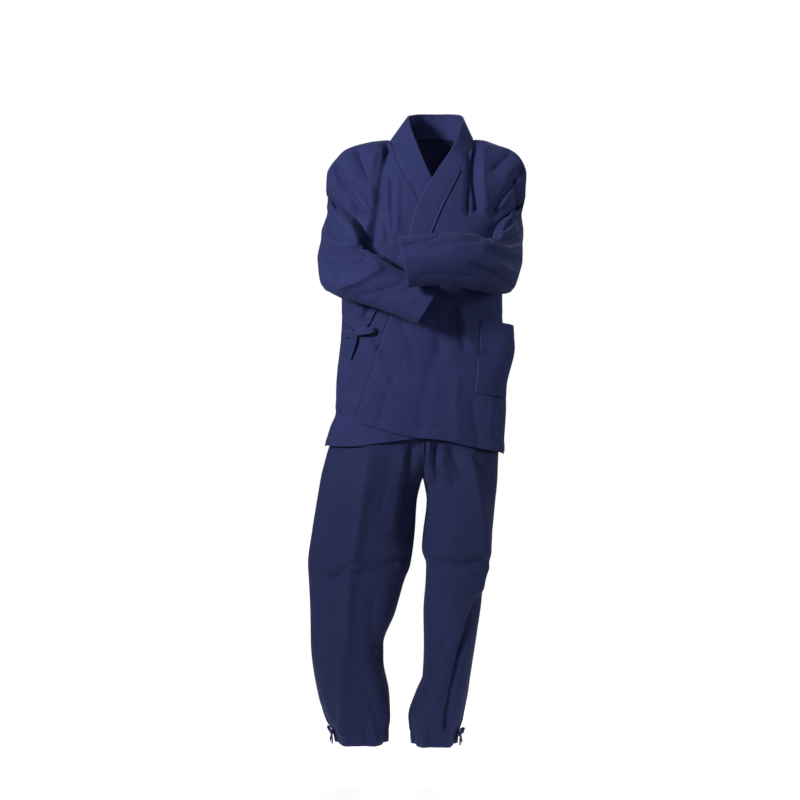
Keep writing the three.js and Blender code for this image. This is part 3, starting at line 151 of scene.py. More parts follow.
# Plain-woven cotton, piece dyed: matt, a faint sheen of loose fibres, slubs along the yarn, pale where rubbed
def wovenCotton(name, base, deep, weave=1.0):
    material, tree, shader = newMaterial(name)
    uv = addNode(tree, "ShaderNodeUVMap", uv_map="clothUv").outputs[0]
    spot = addNode(tree, "ShaderNodeTexCoord").outputs["Object"]

    def yarnBands(direction):
        sizes = {"Scale": 1000 / cloth["threadSpacing"] / waveTurn, "Distortion": 0.6, "Detail": 1.0,
                 "Detail Scale": 1.5}
        return addNode(tree, "ShaderNodeTexWave", sizes, {"Vector": uv}, bands_direction=direction).outputs[1]

    def cloudy(scale, detail, roughness, where=spot):
        sizes = {"Scale": scale, "Detail": detail, "Roughness": roughness}
        return addNode(tree, "ShaderNodeTexNoise", sizes, {"Vector": where}).outputs[0]

    def ranged(source, sizes):
        return addNode(tree, "ShaderNodeMapRange", sizes, {"Value": source}).outputs[0]

    threads = addNode(tree, "ShaderNodeMath", links={0: yarnBands("X"), 1: yarnBands("Y")},
                      operation="MAXIMUM").outputs[0]
    stretched = addNode(tree, "ShaderNodeMapping",
                        {"Scale": (cloth["slubsAcross"], 1000 / cloth["slubLength"], 1)}, {"Vector": uv})
    slubs = cloudy(1.0, 2.0, 0.5, stretched.outputs[0])
    dye = ranged(cloudy(9.0, 4.0, 0.6), {"From Min": 0.3, "From Max": 0.7, "To Max": 0.45})
    tone = mixColours(tree, dye, linear(base), linear(deep))
    rubbed = addNode(tree, "ShaderNodeAttribute", attribute_name="wear").outputs["Fac"]
    grain = cloudy(420.0, 2.0, 0.5)
    broken = addNode(tree, "ShaderNodeMath", links={0: rubbed, 1: grain}, operation="MULTIPLY")
    worn = mixColours(tree, broken.outputs[0], tone, linear(cloth["wornNavy"]))
    pale = ranged(threads, {"To Min": 0.62, "To Max": 1.12})
    tree.links.new(mixColours(tree, 0.35, worn, pale, "MULTIPLY"), shader.inputs["Base Color"])
    rough = ranged(slubs, {"To Min": cloth["roughness"] - 0.08, "To Max": cloth["roughness"] + 0.1})
    tree.links.new(rough, shader.inputs["Roughness"])
    normal = None
    for height, strength, distance in ((threads, 0.35 * weave, 0.0004), (slubs, 0.25 * weave, 0.0006),
                                       (cloudy(38.0, 3.0, 0.55), 0.22, 0.006)):
        links = {"Height": height, "Normal": normal} if normal else {"Height": height}
        sizes = {"Strength": strength, "Distance": distance}
        normal = addNode(tree, "ShaderNodeBump", sizes, links).outputs[0]
    tree.links.new(normal, shader.inputs["Normal"])
    finish = {"IOR": 1.5, "Specular IOR Level": 0.16, "Sheen Weight": 0.08, "Sheen Roughness": 0.5,
              "Sheen Tint": linear(cloth["looseFibre"])}
    for key, value in finish.items():
        shader.inputs[key].default_value = value
    return material


jacketCotton = wovenCotton("wovenCottonNavyJacket", cloth["navy"], cloth["deepNavy"])
collarCotton = wovenCotton("wovenCottonNavyCollar", cloth["navy"], cloth["deepNavy"], 1.2)
# the trousers' cloth: the same navy cotton with its base darkened as painted shade
trouserCottonPaintedShade = wovenCotton("wovenCottonNavyTrousersPaintedShade", cloth["trouserNavyPaintedShade"], cloth["deepNavy"])
tieCotton = wovenCotton("wovenCottonNavyTie", cloth["navy"], cloth["deepNavy"], 0.8)
cordCotton = wovenCotton("braidedCottonNavyDrawstring", cloth["cordNavy"], cloth["deepNavy"], 1.4)


# Spun polyester sewing thread: smooth, a little brighter than the cotton it sits in
def sewingThread(name, colour):
    material, tree, shader = newMaterial(name)
    spot = addNode(tree, "ShaderNodeTexCoord").outputs["Object"]
    twist = addNode(tree, "ShaderNodeTexNoise", {"Scale": 900.0, "Detail": 1.0}, {"Vector": spot})
    shade = mixColours(tree, twist.outputs[0], linear(colour), linear(cloth["wornNavy"]))
    tree.links.new(shade, shader.inputs["Base Color"])
    shader.inputs["Roughness"].default_value = 0.5
    shader.inputs["Specular IOR Level"].default_value = 0.4
    return material


navyThread = sewingThread("spunPolyesterThreadNavy", cloth["stitchNavy"])

# The camera, at the photograph's angle
shot = {"lens": 89.12, "from": (-0.07184, -4.509, -0.214), "to": (-0.07184, -0.009, -0.589)}
cameraData = bpy.data.cameras.new("photoCamera")
cameraData.lens = shot["lens"]
cameraData.sensor_width = 36
cameraObject = bpy.data.objects.new("photoCamera", cameraData)
bpy.context.scene.collection.objects.link(cameraObject)
cameraObject.location = shot["from"]
cameraObject.rotation_euler = (Vector(shot["to"]) - Vector(shot["from"])).to_track_quat("-Z", "Y").to_euler()
bpy.context.scene.camera = cameraObject
print("camera ready")


# Folds and creases, as lines seen from the front: x, z from the ground, mm
# width is the reach of a soft trough, depth how far it goes in; below 0 it is a ridge
jacketFolds = [
    ([(-92, 1452), (-112, 1392), (-118, 1310), (-134, 1235)], 12, 11),
    ([(-160, 1435), (-138, 1375)], 14, 5),
    ([(-110, 1425), (-128, 1360)], 14, -5),
    ([(-208, 1398), (-176, 1340), (-145, 1290)], 14, 5),
    ([(-90, 1330), (-78, 1265)], 14, -4),
    ([(98, 1425), (89, 1310)], 13, 8),
    ([(110, 1455), (104, 1385), (108, 1302)], 12, 8),
    ([(-174, 1122), (-177, 1096), (-179, 1072)], 6, 11),
    ([(-126, 1112), (-137, 1086), (-146, 1064)], 6, 9),
    ([(212, 1386), (186, 1352), (148, 1300)], 16, 6),
    ([(184, 1430), (150, 1396)], 14, 4),
    ([(72, 1078), (90, 1018), (108, 990)], 14, -5),
    ([(40, 1060), (10, 960)], 16, 4),
    ([(-160, 1000), (-150, 900)], 16, 4),
    ([(150, 900), (158, 800)], 14, 4),
]
jacketCreases = [
    ([(-90, 1458), (-101, 1414), (-112, 1350), (-117, 1311), (-130, 1239)], 5, 4),
    ([(-102, 1440), (-114, 1390), (-126, 1320), (-138, 1262)], 6, -3),
    ([(-158, 1434), (-136, 1375)], 5, 3),
    ([(-155, 1440), (-130, 1401)], 4, 2),
    ([(-110, 1427), (-125, 1362)], 5, 2.5),
    ([(-212, 1402), (-199, 1369), (-177, 1340), (-152, 1301), (-137, 1294)], 6, 3.5),
    ([(-222, 1360), (-200, 1330), (-168, 1296)], 6, -3),
    ([(-165, 1362), (-132, 1316)], 5, 3),
    ([(196, 1372), (199, 1330), (203, 1296)], 5, 2.4),
    ([(-84, 1370), (-81, 1265)], 6, 3.2),
    ([(-68, 1366), (-70, 1270)], 6, -1.8),
    ([(-98, 1300), (-92, 1236)], 6, 2),
    ([(92, 1434), (90, 1370), (86, 1298)], 5, 3.5),
    ([(105, 1456), (99, 1381), (104, 1305)], 5, 3.5),
    ([(98, 1440), (95, 1376), (96, 1310)], 5, -2.5),
    ([(122, 1440), (118, 1370), (124, 1310)], 7, -2.5),
    ([(212, 1390), (187, 1358), (163, 1331), (144, 1300)], 6, 3.5),
    ([(206, 1372), (180, 1340), (158, 1312)], 6, -3),
    ([(181, 1432), (150, 1399)], 5, 2.2),
    ([(212, 1400), (181, 1380)], 5, 2.2),
    ([(66, 1080), (82, 1021), (100, 996)], 6, -2.5),
    ([(52, 1090), (64, 1040), (78, 1000)], 7, 2.2),
    ([(-10, 1110), (14, 1060), (24, 990)], 9, 1.8),
    ([(-60, 1060), (-40, 1010), (-30, 950)], 9, 1.6),
    ([(-126, 1030), (-96, 990), (-60, 968)], 8, 2.2),
    ([(-130, 1016), (-104, 960), (-84, 900)], 9, -1.8),
    ([(0, 940), (-14, 870), (-20, 812)], 12, 2.2),
    ([(60, 930), (58, 860), (66, 800)], 12, -2.2),
    ([(96, 880), (104, 820), (110, 786)], 9, 2),
    ([(140, 880), (136, 820), (140, 780)], 9, -2),
    ([(-80, 930), (-96, 880), (-110, 830)], 10, 1.8),
    ([(-186, 1010), (-170, 960), (-166, 900)], 7, 2),
    ([(-204, 1060), (-180, 1030), (-160, 1022)], 6, 2.2),
    ([(160, 1060), (146, 1010), (150, 960)], 8, 1.8),
]
backFolds = [
    ([(-92, 1440), (-118, 1330), (-140, 1240)], 16, 6),
    ([(106, 1440), (112, 1330), (132, 1240)], 16, 6),
    ([(-150, 1180), (-96, 1120)], 18, 5),
    ([(140, 1176), (84, 1110)], 18, 5),
    ([(-120, 1010), (-40, 985)], 16, 4),
    ([(20, 1000), (110, 1020)], 16, 4),
    ([(-80, 920), (-92, 790)], 20, 4),
    ([(60, 930), (76, 780)], 20, 4),
]
backCreases = [
    ([(-96, 1436), (-120, 1330), (-146, 1240)], 6, 3),
    ([(-112, 1420), (-136, 1330), (-156, 1264)], 7, -2.5),
    ([(110, 1436), (118, 1330), (138, 1244)], 6, 3),
    ([(126, 1416), (134, 1326), (150, 1262)], 7, -2.5),
    ([(-70, 1400), (-80, 1300), (-66, 1210)], 9, 1.8),
    ([(84, 1404), (92, 1300), (84, 1206)], 9, 1.8),
    ([(-154, 1190), (-104, 1128), (-60, 1100)], 7, 2.5),
    ([(-146, 1160), (-100, 1104), (-50, 1080)], 8, -2.2),
    ([(146, 1186), (92, 1118), (50, 1096)], 7, 2.5),
    ([(138, 1156), (90, 1096), (44, 1074)], 8, -2.2),
    ([(-160, 1030), (-90, 1000), (-30, 1004)], 8, 2),
    ([(20, 1008), (80, 1006), (140, 1034)], 8, 2),
    ([(-86, 930), (-96, 850), (-92, 780)], 9, -2),
    ([(-60, 910), (-66, 840), (-58, 776)], 10, 2),
    ([(64, 940), (78, 850), (76, 770)], 9, -2),
    ([(96, 920), (112, 840), (116, 770)], 10, 2),
]
sleeveFolds = [
    ([(-232, 1290), (-190, 1240)], 14, 5),
    ([(-225, 1215), (-160, 1215)], 14, 5),
    ([(-216, 1180), (-150, 1196)], 14, 5),
    ([(-190, 1140), (-120, 1180)], 14, -5),
    ([(-100, 1120), (-40, 1130)], 14, 4),
    ([(192, 1294), (170, 1266)], 8, 9),
    ([(216, 1290), (170, 1262)], 14, 4),
    ([(208, 1235), (160, 1228)], 14, 6),
    ([(200, 1180), (140, 1215)], 14, 5),
    ([(168, 1150), (110, 1176)], 14, 5),
    ([(30, 1232), (-60, 1222)], 14, 4),
]
sleeveCreases = [
    ([(-226, 1300), (-200, 1262), (-170, 1244)], 6, 2.6),
    ([(-240, 1262), (-206, 1236), (-160, 1230)], 6, -2.4),
    ([(-238, 1232), (-200, 1216), (-152, 1222)], 5, 3),
    ([(-236, 1206), (-196, 1196), (-150, 1208)], 6, -2.6),
    ([(-228, 1186), (-190, 1182), (-142, 1198)], 5, 2.6),
    ([(-214, 1158), (-170, 1164), (-126, 1190)], 6, 2.4),
    ([(-196, 1136), (-150, 1150), (-106, 1176)], 6, -2.4),
    ([(-150, 1116), (-104, 1130), (-60, 1146)], 7, 1.8),
    ([(181, 1338), (183, 1291), (166, 1289), (155, 1265)], 6, 3.4),
    ([(-227, 1316), (-225, 1240), (-223, 1160)], 5, -2.2),
    ([(212, 1286), (190, 1270), (160, 1254)], 6, -2.6),
    ([(208, 1256), (184, 1244), (150, 1240)], 5, 3),
    ([(204, 1226), (176, 1222), (138, 1232)], 6, -2.6),
    ([(200, 1196), (168, 1204), (130, 1226)], 5, 2.8),
    ([(190, 1168), (154, 1184), (110, 1214)], 6, -2.2),
    ([(176, 1146), (134, 1166), (90, 1190)], 6, 2.4),
    ([(110, 1240), (60, 1236), (10, 1232)], 7, 1.8),
    ([(-53, 1231), (-5, 1241), (19, 1252)], 4, 3),
    ([(90, 1160), (40, 1164), (-10, 1168)], 8, 1.6),
    ([(20, 1206), (-20, 1202), (-56, 1204)], 7, -1.4),
]
trouserFolds = [
    ([(-122, 745), (-146, 650), (-168, 505)], 14, -5),
    ([(-176, 480), (-186, 300)], 14, -5),
    ([(-190, 300), (-196, 150)], 14, -5),
    ([(-252, 472), (-205, 482), (-78, 500)], 12, 8),
    ([(-30, 770), (-44, 650), (-54, 570)], 19, 9),
    ([(90, 760), (112, 690), (128, 520)], 14, -5),
    ([(52, 765), (56, 695)], 14, 6),
    ([(20, 770), (16, 700)], 14, 5),
    ([(20, 505), (125, 512)], 14, 6),
    ([(118, 425), (74, 290), (42, 135)], 13, 9),
    ([(36, 322), (-4, 250)], 14, 5),
    ([(-150, 240), (-110, 130)], 16, 2),
]
trouserCreases = [
    ([(-252, 486), (-207, 479), (-172, 516)], 7, 3.6),
    ([(-173, 518), (-110, 512), (-53, 519)], 5, 2.8),
    ([(-258, 474), (-210, 486), (-150, 478), (-80, 492)], 6, -2.2),
    ([(-264, 446), (-220, 456), (-160, 452)], 7, 1.8),
    ([(-37, 783), (-46, 690), (-52, 620)], 7, 2),
    ([(-56, 760), (-68, 680), (-80, 600)], 9, -2),
    ([(-84, 768), (-92, 700), (-104, 640)], 9, 1.6),
    ([(-10, 790), (-10, 740), (-16, 700)], 4, 3),
    ([(2, 788), (0, 744)], 4, -2.2),
    ([(19, 790), (14, 740), (14, 704)], 4, 3),
    ([(32, 786), (30, 738)], 5, -2.2),
    ([(50, 774), (75, 709)], 5, 3.2),
    ([(86, 774), (117, 718)], 5, 2.6),
    ([(20, 520), (70, 508), (125, 518)], 6, 2.8),
    ([(10, 492), (66, 486), (128, 496)], 7, -2),
    ([(114, 431), (92, 366), (69, 296), (50, 220), (38, 156), (45, 122)], 6, 5),
    ([(126, 420), (104, 352), (84, 290), (66, 216)], 7, -2.4),
    ([(33, 331), (14, 298), (-5, 264)], 5, 2.6),
    ([(8, 620), (24, 560), (30, 520)], 9, 1.6),
    ([(40, 440), (30, 380), (10, 330)], 9, 1.6),
    ([(-230, 640), (-214, 580), (-216, 530)], 9, 1.8),
    ([(-236, 400), (-226, 330), (-232, 270)], 10, -1.8),
    ([(-120, 440), (-128, 360), (-118, 280)], 11, 1.8),
    ([(-150, 250), (-128, 190), (-112, 130)], 8, 1),
    ([(-112, 296), (-100, 262), (-88, 232)], 5, 3),
    ([(-214, 260), (-206, 200), (-204, 140)], 7, 2),
    ([(-240, 230), (-228, 180), (-214, 140)], 6, -1.8),
]
# pressed with an iron: the cloth falls away straight on both sides of the line
rightPress = [(-147, 674), (-167, 533), (-176, 509), (-180, 420), (-183, 340), (-192, 315), (-196, 120)]
leftPress = [(106, 694), (120, 600), (127, 500), (112, 431)]
trouserPressed = [
    ([(-127, 800)] + rightPress, 22, -10),
    ([(-134, 750)] + rightPress, 8, -3.5),
    ([(92, 756)] + leftPress, 7, -2.5),
    ([(84, 800)] + leftPress, 18, -7),
]
trouserBackPressed = [
    ([(-140, 800), (-152, 600), (-160, 420), (-172, 120)], 24, -6.5),
    ([(62, 800), (66, 600), (52, 420), (22, 120)], 22, -6.5),
]
trouserBackFolds = [
    ([(-230, 500), (-80, 520)], 15, 6),
    ([(-240, 470), (-90, 480)], 14, 5),
    ([(10, 520), (120, 505)], 15, 6),
    ([(-60, 720), (-120, 600)], 18, 6),
    ([(40, 720), (90, 600)], 18, 6),
    ([(-150, 300), (-170, 150)], 16, 5),
    ([(30, 300), (20, 150)], 16, 5),
]
trouserBackCreases = [
    ([(-250, 512), (-160, 508), (-60, 530)], 6, 2.6),
    ([(-256, 484), (-170, 488), (-70, 498)], 6, -2.4),
    ([(-262, 458), (-180, 462), (-80, 470)], 7, 2.2),
    ([(0, 530), (60, 518), (136, 512)], 6, 2.6),
    ([(4, 500), (60, 492), (138, 486)], 6, -2.4),
    ([(-44, 730), (-92, 664), (-140, 600)], 7, 2.8),
    ([(-30, 700), (-70, 630), (-96, 570)], 9, -2),
    ([(30, 730), (70, 664), (110, 600)], 7, 2.8),
    ([(16, 700), (50, 630), (72, 570)], 9, -2),
    ([(-210, 330), (-200, 240), (-198, 150)], 9, 2),
    ([(80, 330), (66, 240), (52, 150)], 9, 2),
]


def bounded(folds, span=2.8):   # each fold with the box that it reaches
    found = []
    for line, width, most in folds:
        reach = width * span
        xs, zs = [x for x, z in line], [z for x, z in line]
        found.append((line, width, most, min(xs) - reach, max(xs) + reach, min(zs) - reach, max(zs) + reach))
    return found


jacketFolds, jacketCreases = bounded(jacketFolds), bounded(jacketCreases)
backFolds, backCreases = bounded(backFolds), bounded(backCreases)
sleeveFolds, sleeveCreases = bounded(sleeveFolds), bounded(sleeveCreases)
trouserFolds, trouserCreases = bounded(trouserFolds), bounded(trouserCreases)
trouserBackFolds, trouserBackCreases = bounded(trouserBackFolds), bounded(trouserBackCreases)
trouserPressed, trouserBackPressed = bounded(trouserPressed, 4), bounded(trouserBackPressed, 4)


def foldDepth(folds, x, z, sharp=2.0):
    depth = 0
    for line, width, most, left, right, low, high in folds:
        if not (left < x < right and low < z < high):
            continue
        nearest = 1e9
        for (ax, az), (bx, bz) in zip(line, line[1:]):
            dx, dz = bx - ax, bz - az
            t = min(1, max(0, ((x - ax) * dx + (z - az) * dz) / (dx * dx + dz * dz)))
            nearest = min(nearest, math.hypot(x - ax - dx * t, z - az - dz * t))
        depth += most * math.exp(-((nearest / width) ** sharp))
    return depth


# creases go in deeper than their tables say, by these factors, and run out more widely than the soft folds
crease = {"sharpness": 1.4, "jacket": 2.3, "sleeve": 2.1, "trousers": 2.1}
pressedSharpness = 1.0


def clothDepth(folds, creases, gain, x, z):
    return foldDepth(folds, x, z) + gain * foldDepth(creases, x, z, crease["sharpness"])


def crumple(p, amount, reach=46):   # the slight unevenness of cloth that has been worn
    finerReach = reach * 0.42
    return amount * noise.noise(p / reach) + amount * 0.5 * noise.noise(p / finerReach + Vector((7, 3, 5)))


# Cloth pieces are grids of places, each a point and its outward direction
def pieceFrom(name, bm, material):
    mesh = bpy.data.meshes.new(name)
    bm.to_mesh(mesh)
    bm.free()
    mesh.materials.append(material)
    piece = bpy.data.objects.new(name, mesh)
    bpy.context.scene.collection.objects.link(piece)
    return piece


def finishPiece(piece, nodeName):
    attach(piece, "root")
    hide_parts(nodeName)


def finishCloth(piece, nodeName, slotName, flat, area, held="hung"):
    finishPiece(piece, nodeName)


cuts = {   # flat size in m, area in m2
    "panel": ((0.31, 1.44), 0.37), "overlap": ((0.066, 0.33), 0.0195), "collar": ((0.06, 1.05), 0.0585),
    "sleeve_left": ((0.44, 0.42), 0.142), "sleeve_right": ((0.42, 0.4), 0.126),
    "pocket": ((0.11, 0.185), 0.0195), "leg_right": ((0.36, 0.98), 0.285), "leg_left": ((0.32, 0.98), 0.25),
}


def clothMesh(name, grid, wall, material, around=False, wear=None):
    rows, columns = len(grid), len(grid[0])
    bm = bmesh.new()
    bmesh.ops.create_grid(bm, x_segments=columns - 1, y_segments=rows - 1, size=0.5)
    uvLayer = bm.loops.layers.uv.new("clothUv")
    wearLayer = bm.verts.layers.float.new("wear")
    order = sorted(bm.verts, key=lambda v: (round(v.co.y, 5), round(v.co.x, 5)))
    uvAt = {}
    across = [0.0]
    middle = grid[rows // 2]
    for j in range(1, columns):
        across.append(across[-1] + (middle[j][0] - middle[j - 1][0]).length / 1000)
    up = 0.0
    for i in range(rows):
        if i:
            up += (grid[i][columns // 2][0] - grid[i - 1][columns // 2][0]).length / 1000
        for j in range(columns):
            vert = order[i * columns + j]
            point, normal = grid[i][j]
            vert.co = place(point)
            uvAt[vert] = (across[j], up)
            vert[wearLayer] = wear(i, j) if wear else 0.0
    for face in bm.faces:
        face.smooth = True
        for loop in face.loops:
            loop[uvLayer].uv = uvAt[loop.vert]
    if around:
        bmesh.ops.remove_doubles(bm, verts=bm.verts, dist=0.00002)
    bm.faces.ensure_lookup_table()
    middleFace = order[(rows // 2) * columns + columns // 2].link_faces[0]
    outward = grid[rows // 2][columns // 2][1]
    bm.normal_update()
    if middleFace.normal.dot(outward) < 0:
        bmesh.ops.reverse_faces(bm, faces=bm.faces)
    piece = pieceFrom(name, bm, material)
    thicken = piece.modifiers.new("wall", "SOLIDIFY")
    thicken.thickness = wall / 1000
    thicken.offset = -1
    thicken.use_even_offset = False
    return piece


def addRelief(grid, relief, holdFrom="", holdTo=""):   # moves every place along its direction, seams closed
    moved = [[point + normal * relief(point, normal, i, j) for j, (point, normal) in enumerate(row)]
             for i, row in enumerate(grid)]
    for i, row in enumerate(grid):
        for j, hold in ((0, holdFrom), (-1, holdTo)):
            hold = hold(row[j][0]) if callable(hold) else hold
            if hold:
                setattr(moved[i][j], hold, getattr(row[j][0], hold))
    return withNormals(moved, grid)


def withNormals(points, grid):
    rows, columns = len(points), len(points[0])
    result = []
    for i in range(rows):
        row = []
        for j in range(columns):
            east = points[i][min(columns - 1, j + 1)] - points[i][max(0, j - 1)]
            north = points[min(rows - 1, i + 1)][j] - points[max(0, i - 1)][j]
            normal = east.cross(north)
            if normal.length < 1e-6:
                normal = grid[i][j][1].copy()
            normal.normalize()
            if normal.dot(grid[i][j][1]) < 0:
                normal.negate()
            row.append((points[i][j], normal))
        result.append(row)
    return result


def renewed(grid):   # the same places, each direction taken from its neighbours
    return withNormals([[point for point, normal in row] for row in grid], grid)


def edgeDistances(grid, side):   # for every place, its distance to one edge of the piece, mm
    rows, columns = len(grid), len(grid[0])
    far = [[0.0] * columns for i in range(rows)]
    if side in ("from", "to"):
        order = range(1, columns) if side == "from" else range(columns - 2, -1, -1)
        step = -1 if side == "from" else 1
        for i in range(rows):
            for j in order:
                far[i][j] = far[i][j + step] + (grid[i][j][0] - grid[i][j + step][0]).length
    else:
        order = range(1, rows) if side == "low" else range(rows - 2, -1, -1)
        step = -1 if side == "low" else 1
        for i in order:
            for j in range(columns):
                far[i][j] = far[i + step][j] + (grid[i][j][0] - grid[i + step][j][0]).length
    return far


def lineBeside(grid, side, distance, first=0, last=None):   # a line on the cloth at one distance from an edge
    rows, columns = len(grid), len(grid[0])
    if side in ("from", "to"):
        lines = [row if side == "from" else row[::-1] for row in grid]
    else:
        lines = [[grid[i][j] for i in range(rows)] for j in range(columns)]
        if side == "high":
            lines = [line[::-1] for line in lines]
    found = []
    for line in lines[first:last]:
        gone = 0
        for (a, na), (b, nb) in zip(line, line[1:]):
            span = (b - a).length
            if gone + span >= distance and span > 0:
                t = (distance - gone) / span
                found.append((a.lerp(b, t), na.lerp(nb, t).normalized()))
                break
            gone += span
    return found


seam = {"dip": 1.5, "reach": 3.2, "armholeDip": 1.2, "fold": 0.55, "blend": 1.5, "drawIn": 0.6,
        "drawReach": 2.2, "hemWidth": 20, "freeHem": 9}
rub = {"edge": 0.4, "reach": 2.0, "cloud": 0.12, "cloudSize": 30}
stitchAt = {"seam": 4.5, "slit": 5, "freeEdge": 8, "edge": 4, "pocket": 2.5, "mouth": 22, "ribbon": 1.8}


def seamRelief(grid, seams=(), hems=(), holdFrom="", holdTo=""):   # drawn in at a seam, double along a hem
    near = [edgeDistances(grid, side) for side in seams]
    turned = [(edgeDistances(grid, side), width) for side, width in hems]

    def relief(point, normal, i, j):
        total = 0
        for far in near:
            total -= seam["dip"] * math.exp(-((far[i][j] / seam["reach"]) ** 2))
        for far, width in turned:
            past = far[i][j] - width
            total += seam["fold"] * (1 - smooth(-seam["blend"], seam["blend"], past))
            total -= seam["drawIn"] * math.exp(-(((past - seam["blend"]) / seam["drawReach"]) ** 2))
        return total
    return addRelief(grid, relief, holdFrom, holdTo)


def wearNear(grid, sides):   # edges rub paler, with faint clouds of wear here and there
    near = [edgeDistances(grid, side) for side in sides]

    def amount(i, j):
        closest = min((far[i][j] for far in near), default=99)
        rubbed = rub["edge"] * math.exp(-((closest / rub["reach"]) ** 2))
        return min(1, rubbed + rub["cloud"] * max(0, noise.noise(grid[i][j][0] / rub["cloudSize"])))
    return amount


stitchLines = {"jacket": [], "trousers": []}
thread = {"pitch": 4.4, "length": 3.0, "radius": 0.42, "proud": 0.12}   # sewn at about 3 mm, drawn coarser


def addStitches(name, lines):
    bm = bmesh.new()
    count = 0
    for line in lines:
        gone, wanted = 0, thread["pitch"] / 2
        for (a, na), (b, nb) in zip(line, line[1:]):
            span = (b - a).length
            while span > 0 and gone + span >= wanted:
                t = (wanted - gone) / span
                along = (b - a).normalized()
                up = na.lerp(nb, t).normalized()
                aside = along.cross(up).normalized()
                up = aside.cross(along)
                spot = place(a.lerp(b, t) + up * thread["proud"])
                turn = Matrix((along, aside, up)).transposed().to_4x4()
                size = Matrix.Diagonal((thread["length"] / 2000, thread["radius"] / 1000,
                                        thread["radius"] / 1000, 1))
                bmesh.ops.create_icosphere(bm, subdivisions=1, radius=1,
                                           matrix=Matrix.Translation(spot) @ turn @ size)
                count += 1
                wanted += thread["pitch"]
            gone += span
    for face in bm.faces:
        face.smooth = True
    bmesh.ops.recalc_face_normals(bm, faces=bm.faces)
    piece = pieceFrom(name, bm, navyThread)
    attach(piece, "root")
    print(name, count, "stitches")


# The jacket's form
torso = {
    "z": [735, 767, 811, 850, 884, 957, 1012, 1067, 1103, 1190],
    "right": [-240, -236, -224, -210, -210, -205, -199, -196, -196, -187],
    "left": [174, 174, 176, 178, 178, 177, 174, 169, 168, 168],
    "front": [-119, -120, -121, -122, -121, -118, -117, -118, -120, -123],
    "back": [126, 128, 130, 129, 126, 117, 110, 108, 110, 115],
}
shoulder = {   # the ridge from the right underarm to the left one
    "across": [-1, -0.98, -0.95, -0.92, -0.87, -0.81, -0.75, -0.68, -0.61, -0.53, -0.45, 0,
               0.45, 0.53, 0.61, 0.68, 0.74, 0.8, 0.86, 0.92, 0.95, 0.98, 1],
    "x": [-187, -206, -224, -231, -229, -220, -206, -188, -154, -120, -84, 8,
          101, 123, 155, 190, 205, 216, 221, 220, 218, 196, 168],
    "y": [0, 0, -1, -3, -6, -6, -5, -2, 2, 5, 9, 25, 9, 5, 2, -2, -5, -6, -6, -3, -1, 0, 0],
    "z": [1190, 1250, 1320, 1351, 1385, 1405, 1423, 1441, 1454, 1461, 1464, 1484,
          1465, 1463, 1453, 1438, 1425, 1407, 1389, 1350, 1314, 1245, 1190],
}
jacket = {
    "chest": 1190, "ringSquareness": 2.4, "archSquareness": 2.3, "shoulderLean": 1.6,
    "neckBase": 1466, "neckCentre": 8, "layerLift": 6.4, "seamAcross": 0.94, "seamGap": -0.3,
    "slitRight": 851, "slitLeft": 800, "slitOpening": 0.03, "neckDrop": 19, "wall": 1.3, "uneven": 0.9,
    "lowerRows": 13, "columns": 11, "finer": 8,
    "arch": [2, 6, 12, 20, 30, 42, 54, 64, 71, 72.45, 76.6, 82.7, 90],
}
armholes = {
    "rightFront": [(-172, 1196), (-152, 1210), (-140, 1232), (-147, 1264), (-165, 1287), (-186, 1302),
                   (-211, 1315)],
    "rightBack": [(-183, 1204), (-177, 1240), (-183, 1280), (-198, 1304), (-213, 1315)],
    "leftFront": [(156, 1196), (143, 1210), (136, 1232), (143, 1262), (161, 1283), (184, 1298), (206, 1309)],
    "leftBack": [(164, 1204), (160, 1240), (167, 1278), (186, 1299), (206, 1309)],
}
hem = {   # heights by x
    "leftFront": curveOf([-205, -192, -164, -133, -24, 23, 91, 176],
                         [858, 845, 832, 825, 801, 797, 781, 759]),
    "rightFront": curveOf([-236, -160, -113, -24, 23, 91, 176], [774, 779, 787, 799, 804, 794, 782]),
    "back": curveOf([-236, -30, 176], [768, 757, 750]),
}
overlapLeft = curveOf([730, 832, 952, 1076, 1106], [-195, -164, -126, -84, -66])
overlapRight = curveOf([730, 900, 1050, 1106], [92, 84, 74, 65.5])
freeLeft = curveOf([730, 860, 885, 923, 961, 992, 1040, 1085, 1106],
                   [-206, -203, -201, -197, -186, -175, -147, -130, -119])
freeRight = curveOf([730, 900, 980, 1050, 1106], [143, 142, 137, 127, 112.5])
collarZ = [1085, 1106, 1140, 1190, 1240, 1290, 1340, 1380, 1420, 1450, 1466]
neckLeft = curveOf(collarZ, [-76, -66, -47, -21, 0.5, 19.5, 43, 64, 83, 96.5, 102])
collarFreeLeft = curveOf(collarZ, [-130, -119, -100.5, -73.5, -47.5, -35, -15, 10, 36, 60, 77])
neckRight = curveOf(collarZ, [73.5, 65.5, 52, 33, 14, -5, -29, -50, -71, -82, -86])
collarFreeRight = curveOf(collarZ, [120, 112.5, 101, 82.5, 63.5, 46.5, 25, 5.5, -14, -28, -38])
ring = {key: curveOf(torso["z"], torso[key]) for key in ("right", "left", "front", "back")}
ridge = {key: curveOf(shoulder["across"], shoulder[key]) for key in "xyz"}


def torsoPoint(across, z, face):
    right, left = ring["right"](z), ring["left"](z)
    turn = across * math.pi / 2
    sideways = abs(math.sin(turn)) ** (2 / jacket["ringSquareness"])
    x = (left + right) / 2 + (left - right) / 2 * math.copysign(sideways, across)
    return Vector((x, ring[face](z) * max(0, math.cos(turn)) ** (2 / jacket["ringSquareness"]), z))


